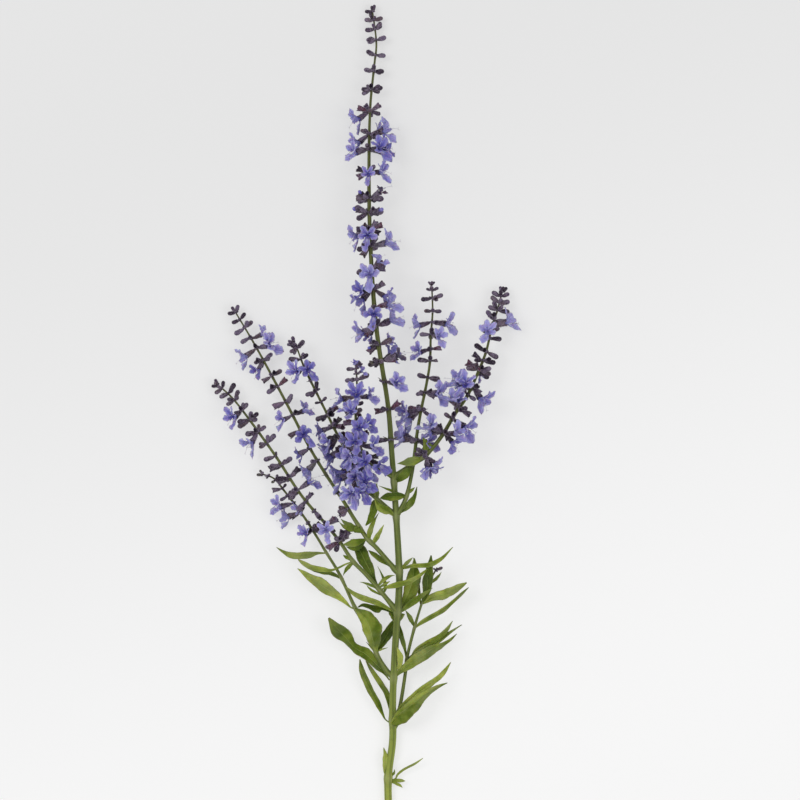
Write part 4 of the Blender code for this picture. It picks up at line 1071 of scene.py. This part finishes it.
def stem_shape(name, route, main):
    """A stem's ribbed skin, with its leaf nodes and the joints of its whorls."""
    distance, centre, share, pith = stem_line(route, main)
    along = unit(np.gradient(centre, axis=0)) if route is not main else route.direction(distance)
    side = unit(np.cross(along, (0, 0, 1)))
    up = np.cross(along, side)
    nodes, joint = np.zeros(len(distance)), np.zeros(len(distance))
    for node in STEMS[name]["nodes"]:
        nodes += np.exp(-(((distance - node) / NODE_REACH) ** 2))
    whorls = [route.length - float(line.split()[0]) for line in SPIKES[name].strip().splitlines()]
    for whorl in whorls:
        joint = np.maximum(joint, np.exp(-(((distance - whorl) / WHORL_REACH) ** 2)))
    swelling = 1 + NODE_SWELLING * nodes
    if route is not main:
        swelling += FOOT_FLARE * np.exp(-np.maximum(distance, 0) / FOOT_FLARE_REACH)
    radius = route.radius(distance) * (swelling + WHORL_SWELLING * joint) * share
    angle = 2 * np.pi * np.arange(STEM_SIDES) / STEM_SIDES
    turn = angle + RIB_TURN * distance[:, None]
    # Four broad ribs, with a groove between each two.
    ribs = 1 + 0.1 * np.cos(4 * turn) - 0.04 * np.cos(8 * turn)
    circle_x, circle_y = np.cos(angle), np.sin(angle)
    sections = centre[:, None] + (radius[:, None] * ribs)[..., None] * (
        circle_x[:, None] * side[:, None] + circle_y[:, None] * up[:, None]
    )
    points, faces = rings(sections)
    # The skin changes its colour over the 30 mm about the lowest whorl.
    in_spike = smooth((distance - min(whorls) + 15) / 30)
    first = 0 if route is main else YOUNGEST_SIDE_STEM
    ripe = first + (1 - first) * distance / route.length

    def spread(values):
        """Values at the rings, given to their points and to the two end points."""
        flat = np.broadcast_to(values, (len(distance), STEM_SIDES)).reshape(-1)
        return np.concatenate([flat, flat[:1], flat[-1:]])

    by_ring = {"along": distance, "share": ripe, "joint": joint, "node": nodes}
    by_ring.update(pith=pith, in_spike=in_spike)
    values = {key: value[:, None] for key, value in by_ring.items()}
    values.update(circle_x=circle_x, circle_y=circle_y, rib=ribs - 1)
    return only(points, faces, tone=STEM_TONES[name], **{key: spread(value) for key, value in values.items()})


def blade_rows(start, middle, tip, width, fold, outline, rows):
    """The points of a blade's midrib at even steps, and how far it reaches to the left and right there."""
    share = np.linspace(0, 1, rows)
    handle = 2 * middle - (start + tip) / 2
    u = share[:, None]
    line = start * (1 - u) ** 2 + handle * 2 * u * (1 - u) + tip * u**2
    if outline is None:
        half = width / 2 * np.sin(np.pi * share) ** 1.15 * (1 + 0.25 * np.cos(np.pi * share)) * math.cos(fold)
        stalk = LEAST_STALK * (1 - smooth(share / 0.3))
        half += stalk + TIP_HALF_WIDTH
        return line, half, half
    outline = [(*start[:2], LEAST_STALK)] + outline
    outline = [(*point, point[2])[:4] for point in outline]
    seen = smooth_line([(x, y, 0) for x, y, _, _ in outline])
    reach = smooth_line([(left, right, 0) for _, _, left, right in outline])
    lengths = lengths_along(seen)
    steps = share * lengths[-1]
    x, y, left, right = (np.interp(steps, lengths, row) for row in (*seen.T[:2], *reach.T[:2]))
    return np.stack([x, y, line[:, 2]], axis=-1), left, right


def leaf_shape(rng, route, at, middle, tip, width, fold, tone, wave, halves, outline=None, grid=LEAF_GRID):
    """A leaf: a folded and waved blade on a short stalk, drawn along a curved midrib."""
    foot, axis = route.at(at), route.direction(at)
    middle, tip = np.array(middle, float), np.array(tip, float)
    out = middle - foot
    out = unit(out - axis * out.dot(axis))
    start = foot + out * route.radius(at) * (0.5 if outline is None or width < CLASPING_WIDTH else 1.15)
    phase = rng.uniform(0, 1, 6)
    fold = math.radians(fold)
    line, left, right = blade_rows(start, middle, tip, width, fold, outline, grid[0])
    along = unit(np.gradient(line, axis=0))[:, None]
    side = unit(np.cross(along, (0, 0, 1)))
    up = np.cross(side, along)
    teeth = 0.0 if width < TOOTHED_WIDTH else TOOTH

    def place(u, v):
        wide = np.abs(v)
        # Nine teeth along each edge.
        saw = (9 * u + np.where(v > 0, phase[0], phase[1])) % 1
        wander = np.sin(2 * np.pi * (3.1 * u + np.where(v > 0, phase[4], phase[5])))
        half = np.where(v > 0, right[:, None], left[:, None])
        away_from_ends = smooth((u - 0.15) * 5) * smooth((1 - u) * 6)
        half = half * (1 + (teeth * (saw - 0.4) + EDGE_WANDER * wander) * away_from_ends)
        curve = half * v
        lift = half * wide * (1 - 0.3 * wide) * np.tan(fold) * smooth(u * 5)
        lift += 0.06 * half * np.cos(3 * u + phase[3]) * v**2
        waving = np.sin(2 * np.pi * (2.6 * u + np.where(v > 0, phase[2], phase[3])))
        lift += wave * v**2 * waving * smooth(3 * u)
        lift -= MIDRIB_DEPTH * np.exp(-((v * half / 0.35) ** 2)) * (1 - u)
        lift += VEIN_HEIGHT * np.sin(2 * np.pi * (7 * u - 1.6 * wide)) * np.sin(np.pi * wide) * smooth(4 * u)
        return line[:, None] + side * curve[..., None] + up * lift[..., None]

    points, faces, values = pillow(place, *grid, LEAF_THICKNESS)
    return only(points, faces, **values, tone=tone, width=width, halves=halves)


# ------------------------------------------------------------------------------------------- materials


def rgb(text):
    """A colour written as in a stylesheet, as linear values."""
    parts = [int(text[i : i + 2], 16) / 255 for i in (1, 3, 5)]
    return (*[p / 12.92 if p <= 0.04045 else ((p + 0.055) / 1.055) ** 2.4 for p in parts], 1.0)


class Surface:
    """A material, with short calls for the nodes that are used here."""

    def __init__(self, name, **sockets):
        self.material = bpy.data.materials.new(name)
        self.material.use_nodes = True
        self.nodes, self.links = self.material.node_tree.nodes, self.material.node_tree.links
        self.shader = self.nodes["Principled BSDF"]
        for socket, value in sockets.items():
            self.shader.inputs[socket.replace("_", " ")].default_value = value
        self.colour = None

    def feed(self, socket, value):
        if isinstance(value, bpy.types.NodeSocket):
            self.links.new(value, socket)
        else:
            socket.default_value = value

    def node(self, kind, inputs, output=0, **settings):
        new = self.nodes.new("ShaderNode" + kind)
        for key, value in settings.items():
            setattr(new, key, value)
        for key, value in inputs.items():
            self.feed(new.inputs[key], value)
        return new.outputs[output]

    def value(self, name):
        return self.node("Attribute", {}, "Fac", attribute_name=name)

    def math(self, operation, a, b=0.0):
        return self.node("Math", {0: a, 1: b}, operation=operation)

    def times(self, a, b):
        return self.math("MULTIPLY", a, b)

    def span(self, value, low, high, to_low=0.0, to_high=1.0):
        """Maps a value from one span to another, smoothly and held at the ends."""
        inputs = {"Value": value, "From Min": low, "From Max": high, "To Min": to_low, "To Max": to_high}
        return self.node("MapRange", inputs, interpolation_type="SMOOTHSTEP")

    def mix(self, share, a, b):
        return self.node("Mix", {0: share, 6: a, 7: b}, 2, data_type="RGBA")

    def coat(self, colour, share):
        """Lays a colour over the surface's own, as far as share says."""
        self.colour = self.mix(share, self.colour, rgb(colour))

    def ramp(self, share, *stops):
        colours = self.node("ValToRGB", {0: share})
        elements = colours.node.color_ramp.elements
        for element, (position, colour) in zip(elements, (stops[0], stops[-1])):
            element.position, element.color = position, rgb(colour)
        for position, colour in stops[1:-1]:
            elements.new(position).color = rgb(colour)
        return colours

    def vector(self, x, y, z=0.0):
        return self.node("CombineXYZ", {0: x, 1: y, 2: z})

    def place(self):
        return self.node("TexCoord", {}, "Object")

    def noise(self, vector, scale, detail=3.0, rough=0.55):
        return self.node("TexNoise", {"Vector": vector, "Scale": scale, "Detail": detail, "Roughness": rough})

    def finish(self, roughness, height, depth):
        """The coated colour, roughness and the height of the bumps, which stand up by depth metres."""
        self.feed(self.shader.inputs["Base Color"], self.colour)
        self.feed(self.shader.inputs["Roughness"], roughness)
        bump = self.node("Bump", {"Height": height, "Strength": 0.6, "Distance": depth})
        self.feed(self.shader.inputs["Normal"], bump)
        return self.material


def stem_material():
    """Green, streaked stem skin with pale ribs, yellower at the cut end and darker up in the spike."""
    s = Surface(
        "stem_skin", Sheen_Weight=0.08, Sheen_Roughness=0.5, Subsurface_Weight=0.06, Subsurface_Scale=0.0006,
        Specular_IOR_Level=0.25,
    )
    along, joint, pith, rib = s.value("along"), s.value("joint"), s.value("pith"), s.value("rib")
    around = s.times(s.value("circle_x"), 3.0), s.times(s.value("circle_y"), 3.0)
    streaks = s.noise(s.vector(*around, s.times(along, 0.06)), 2.2, 4.0, 0.65)
    blotches = s.noise(s.place(), 160.0, 2.0)
    s.colour = s.ramp(s.value("share"), (0, "#a9b24c"), (0.1, "#8f9d3f"), (0.25, "#657233"), (1, "#59652d"))
    s.coat("#4f4f26", s.times(s.value("in_spike"), 0.75))
    dusky = s.times(s.value("in_spike"), s.span(s.value("share"), 0.6, 1.0, 0, 0.5))
    s.coat("#40332f", dusky)
    s.coat("#828d50", s.span(s.value("tone"), 0.3, 1.0, 0, 0.3))
    s.coat("#92a052", s.span(streaks, 0.4, 0.7, 0, 0.4))
    s.coat("#4c5a1f", s.span(blotches, 0.5, 0.75, 0, 0.35))
    s.coat("#475426", s.span(rib, -0.1, 0.03, 0.45, 0))
    s.coat("#a9b268", s.span(rib, 0.04, 0.12, 0, 0.35))
    s.coat("#b3b583", s.times(s.value("node"), 0.25))
    s.coat("#3c2b38", s.times(joint, 0.7))
    s.coat("#cfd3a0", pith)
    return s.finish(s.span(streaks, 0.2, 0.8, 0.5, 0.68), streaks, 0.00025)


def leaf_material():
    """Leaf green from dark to bright, partly painted light and shade, with a pale midrib, fine side veins,
    painted highlights on the edges and a paler underside.
    """
    s = Surface(
        "leaf_skin", Sheen_Weight=0.05, Sheen_Roughness=0.4, Subsurface_Weight=0.1, Subsurface_Scale=0.0008,
        Specular_IOR_Level=0.22,
    )
    along, across, tone = s.value("along"), s.value("across"), s.value("tone")
    wide = s.math("ABSOLUTE", across)
    blotches = s.noise(s.place(), 120.0, 3.0)
    fine = s.noise(s.place(), 1400.0, 2.0)
    # The leaf's tone, partly its own green and partly painted light and shade, varied by blotches.
    shade = s.math("ADD", tone, s.span(blotches, 0.35, 0.65, -0.19, 0.19))
    # Painted light: one half of the folded blade is made lighter than the other, as if lit from one side.
    halves = s.times(s.value("halves"), s.span(across, -0.25, 0.25, 0.5, -0.5))
    shade = s.math("ADD", shade, halves)
    s.colour = s.ramp(shade, (0, "#3c5000"), (0.3, "#576b08"), (0.6, "#7d8c2f"), (1, "#adb852"))
    grey = s.span(s.noise(s.place(), 75.0, 2.0), 0.42, 0.62, 0, 0.38)
    s.coat("#90976c", s.times(grey, s.span(tone, 0.1, 0.6, 0.2, 1)))
    slanted = s.math("SUBTRACT", s.times(along, 7.0), s.times(wide, 1.6))
    veins = s.span(s.math("SINE", s.times(slanted, 6.2832)), 0.82, 1.0)
    veins = s.times(veins, s.span(wide, 0.95, 0.2, 0, 0.14))
    midrib = s.span(s.times(wide, s.value("width")), 0.55, 0.15)
    midrib = s.times(midrib, s.span(along, 1.0, 0.3, 0.1, 0.55))
    s.coat("#93a352", veins)
    midrib = s.times(midrib, s.span(s.value("width"), 4.5, 8.5, 0.35, 1.25))
    s.coat("#a9b46c", midrib)
    # Painted highlight: the edges of the blade are made paler, as a sheen along its rims.
    s.coat("#b0b97c", s.span(wide, 0.84, 1.0, 0, 0.45))
    s.coat("#33430b", s.span(fine, 0.45, 0.75, 0, 0.14))
    s.coat("#8f9c66", s.times(s.value("under"), 0.4))
    s.coat("#86963c", s.span(along, 0.12, 0.0, 0, 0.5))
    grain = s.math("ADD", s.times(fine, 0.5), blotches)
    height = s.math("SUBTRACT", grain, s.times(veins, 1.2))
    return s.finish(s.span(fine, 0.2, 0.8, 0.5, 0.68), height, 0.0003)


def calyx_material():
    """Dark, downy purple calyces with paler ribs; tint turns one reddish, tan, green or pale."""
    s = Surface(
        "calyx_down", Sheen_Weight=0.55, Sheen_Roughness=0.35, Sheen_Tint=rgb("#c4b8cc"),
        Subsurface_Weight=0.03, Subsurface_Scale=0.0004, Specular_IOR_Level=0.2,
    )
    along, tint, tone = s.value("along"), s.value("tint"), s.value("tone")
    mottle = s.noise(s.place(), 700.0, 4.0, 0.65)
    patches = s.noise(s.place(), 300.0, 2.0)
    down = s.noise(s.place(), 3200.0, 2.0)
    purple = s.ramp(along, (0, "#77705c"), (0.22, "#5f4e5e"), (0.5, "#3b2b41"), (1, "#22172a"))
    tinted = s.ramp(
        tint, (0.0, "#2c1e2d"), (TINTS["r"], "#712c38"), (TINTS["t"], "#6b513d"), (TINTS["n"], "#66703f"),
        (TINTS["w"], "#8f8493"),
    )
    s.colour = s.mix(s.span(tint, 0.02, 0.1, 0, 0.8), purple, tinted)
    s.coat("#75624f", s.span(tone, 0.75, 0.95, 0, 0.5))
    pale = s.times(s.span(tone, 0.42, 0.52), s.span(tone, 0.74, 0.66))
    s.coat("#8d819f", s.times(pale, 0.5))
    s.coat("#7f6d82", s.span(s.value("ridge"), -0.2, 0.9, 0, 0.6))
    s.coat("#8d8092", s.span(patches, 0.45, 0.6, 0, 0.65))
    s.coat("#6b5779", s.span(mottle, 0.45, 0.66, 0, 0.5))
    s.coat("#170f1a", s.span(mottle, 0.5, 0.34, 0, 0.8))
    shaded = s.times(s.span(tone, 0.38, 0.1, 0, 0.75), s.span(tint, 0.05, 0.3, 1, 0.3))
    s.coat("#221826", shaded)
    s.coat("#b5a8ba", s.span(down, 0.55, 0.76, 0, 0.45))
    s.coat("#cdc2d0", s.value("hair"))
    return s.finish(s.span(mottle, 0.2, 0.8, 0.65, 0.85), s.math("ADD", mottle, down), 0.0002)


def petal_material():
    """Violet-blue petals, deep in the throat and paler to the edge, finely veined along the lobes."""
    s = Surface(
        "petal", Sheen_Weight=0.12, Sheen_Roughness=0.5, Subsurface_Weight=0.15, Subsurface_Scale=0.0006,
        Specular_IOR_Level=0.3,
    )
    along, across, tone = s.value("along"), s.value("across"), s.value("tone")
    streaks = s.noise(s.vector(s.times(across, 4.0), along, s.times(tone, 9.0)), 2.4, 3.0, 0.6)
    clouds = s.noise(s.place(), 420.0, 3.0)
    s.colour = s.ramp(along, (0, "#403b98"), (0.2, "#6560ba"), (0.5, "#918dd8"), (1, "#c2bff2"))
    s.coat("#a394cc", s.span(clouds, 0.35, 0.65, 0, 0.5))
    wide = s.math("ABSOLUTE", across)
    s.coat("#4c46a4", s.span(wide, 0.3, 0.0, 0, 0.4))
    s.coat("#4843a4", s.span(streaks, 0.45, 0.65, 0, 0.55))
    s.coat("#d6d4f6", s.span(wide, 0.5, 0.95, 0, 0.7))
    # Tone varies at random, and is lower on spikes deep in the middle clump, where it is painted shade.
    s.coat("#bdbaf0", s.span(tone, 0.4, 1.0, 0, 0.4))
    s.coat("#4640a6", s.span(tone, 0.4, 0.0, 0, 0.5))
    s.coat("#a5a2da", s.times(s.value("under"), 0.25))
    marks = s.times(s.value("lip"), s.span(along, 0.5, 0.15, 0, 0.75))
    marks = s.times(marks, s.span(wide, 0.7, 0.2))
    s.coat("#cdcde2", marks)
    s.coat("#3c3038", s.times(s.value("withered"), 0.85))
    return s.finish(s.span(streaks, 0.2, 0.8, 0.5, 0.65), streaks, 0.00012)


def style_material():
    """Pale lilac styles, with darker anthers at the foot of the scale."""
    s = Surface("style", Subsurface_Weight=0.1, Subsurface_Scale=0.0003)
    grain = s.noise(s.place(), 2500.0, 2.0)
    s.colour = s.ramp(s.value("along"), (0, "#554a66"), (0.15, "#a39cb8"), (1, "#bdb7c6"))
    s.coat("#8f88a8", s.span(grain, 0.4, 0.7, 0, 0.3))
    return s.finish(s.span(grain, 0.2, 0.8, 0.5, 0.6), grain, 0.00005)


# --------------------------------------------------------------------------------- floor, lights, camera


def add_floor(centre):
    """A pale floor with a painted falloff of light, a little darker towards the spike's tip, that keeps a
    soft shadow of the plant.
    """
    mesh = bpy.data.meshes.new("studio_floor")
    half = FLOOR_SIZE / 2
    sides = (-half, -half), (half, -half), (half, half), (-half, half)
    mesh.from_pydata([(centre.x + x, centre.y + y, 0) for x, y in sides], [], [(0, 1, 2, 3)])
    floor = bpy.data.objects.new("studio_floor", mesh)
    bpy.context.scene.collection.objects.link(floor)
    s = Surface("studio_floor", Roughness=0.9)
    spot = s.place()
    across = s.times(s.node("SeparateXYZ", {0: spot}, 0), FLOOR_LEAN)
    away = s.math("SUBTRACT", s.node("SeparateXYZ", {0: spot}, 1), across)
    ends = [centre.y + end for end in FLOOR_SPAN]
    # Painted light: the floor's colour runs from white to light grey across it.
    colour = s.ramp(s.span(away, *ends), (0, FLOOR_NEAR), (1, FLOOR_FAR))
    s.feed(s.shader.inputs["Base Color"], colour)
    glow = s.node("Emission", {"Color": colour, "Strength": 1.0})
    path = s.nodes.new("ShaderNodeLightPath")
    seen = s.math("MAXIMUM", path.outputs["Is Camera Ray"], path.outputs["Is Glossy Ray"])
    seen = s.math("MAXIMUM", seen, path.outputs["Is Transmission Ray"])
    both = s.node("MixShader", {0: s.times(seen, FLOOR_GLOW), 1: s.shader.outputs[0], 2: glow})
    s.feed(s.nodes["Material Output"].inputs["Surface"], both)
    mesh.materials.append(s.material)


def add_lamp(name, place, target, size, power):
    light = bpy.data.lights.new(name, "AREA")
    light.shape, light.size, light.energy = "DISK", size, power
    lamp = bpy.data.objects.new(name, light)
    lamp.location = place
    lamp.rotation_euler = (target - Vector(place)).to_track_quat("-Z", "Y").to_euler()
    bpy.context.scene.collection.objects.link(lamp)


def add_world():
    """White light from all around, brighter where the camera or a gloss sees it than as light."""
    world = bpy.data.worlds.new("studio")
    world.use_nodes = True
    nodes, links = world.node_tree.nodes, world.node_tree.links
    background = nodes["Background"]
    background.inputs["Color"].default_value = (1, 1, 1, 1)
    path = nodes.new("ShaderNodeLightPath")
    either = nodes.new("ShaderNodeMath")
    either.operation = "MAXIMUM"
    links.new(path.outputs["Is Camera Ray"], either.inputs[0])
    links.new(path.outputs["Is Glossy Ray"], either.inputs[1])
    strength = nodes.new("ShaderNodeMapRange")
    strength.inputs["To Min"].default_value = WORLD_STRENGTH
    strength.inputs["To Max"].default_value = WORLD_SEEN
    links.new(either.outputs[0], strength.inputs["Value"])
    links.new(strength.outputs[0], background.inputs["Strength"])
    bpy.context.scene.world = world


def add_camera():
    """A long lens straight above the plant."""
    data = bpy.data.cameras.new("camera")
    data.lens, data.sensor_width = LENS, SENSOR
    data.clip_end = 20
    camera = bpy.data.objects.new("camera", data)
    distance = VIEW_WIDTH * LENS / SENSOR
    camera.location = in_row_frame(np.array([*VIEW_CENTRE, VIEW_HEIGHT + distance]))
    bpy.context.scene.collection.objects.link(camera)
    bpy.context.scene.camera = camera


# ---------------------------------------------------------------------------------------------- the plant


def build_plant():
    """Every stem with its spike, then every leaf."""
    rng = np.random.default_rng(SEED)
    routes = {name: Route(stem) for name, stem in STEMS.items()}
    main = routes["main"]
    stem_skin, leaf_skin, down = stem_material(), leaf_material(), calyx_material()
    petal_skin, style_skin = petal_material(), style_material()
    templates = {kind: [calyx_template(kind, rng) for _ in range(4)] for kind in "bkc"}
    templates["o"] = [corolla_template(rng) for _ in range(6)]
    templates["style"] = [style_template(rng) for _ in range(4)]
    templates["p"], templates["g"] = opening_template(), bract_template()
    for name, route in routes.items():
        label = name if name == "main" else "branch_" + name
        add_piece(label + "_stem_skin", stem_shape(name, route, main), stem_skin, [label + "_stem"])
        light = PETAL_PAINTED_LIGHT.get(name, 1)
        calyces, corollas, styles = grow_spike(route, SPIKES[name], templates, rng, light)
        add_piece(label + "_calyces", calyces, down, [label + "_spike"])
        if corollas.count:
            add_piece(label + "_corollas", corollas, petal_skin)
            add_piece(label + "_styles", styles, style_skin)
    for name, (on, *look) in LEAVES.items():
        shape = leaf_shape(rng, routes[on], *look, BLADES.get(name))
        add_piece(name + "_blade", shape, leaf_skin, [name])
    young = Shape()
    for on, *look in YOUNG_LEAVES:
        points, faces, values = leaf_shape(rng, routes[on], *look, grid=YOUNG_LEAF_GRID).gathered()
        young.add(points, faces, **values)
    add_piece("young_leaves", young, leaf_skin)


def build_studio():
    """Floor, world, lamps and camera, about the middle of the plant."""
    low, high = cad_bounds
    centre = (low + high) / 2
    add_floor(centre)
    add_world()
    for name, (place, size, power) in LAMPS.items():
        add_lamp(name, centre + Vector(place), centre, size, power)
    add_camera()
    bpy.context.scene.view_settings.view_transform = "Standard"


ORIGIN = find_origin()
build_plant()
build_studio()
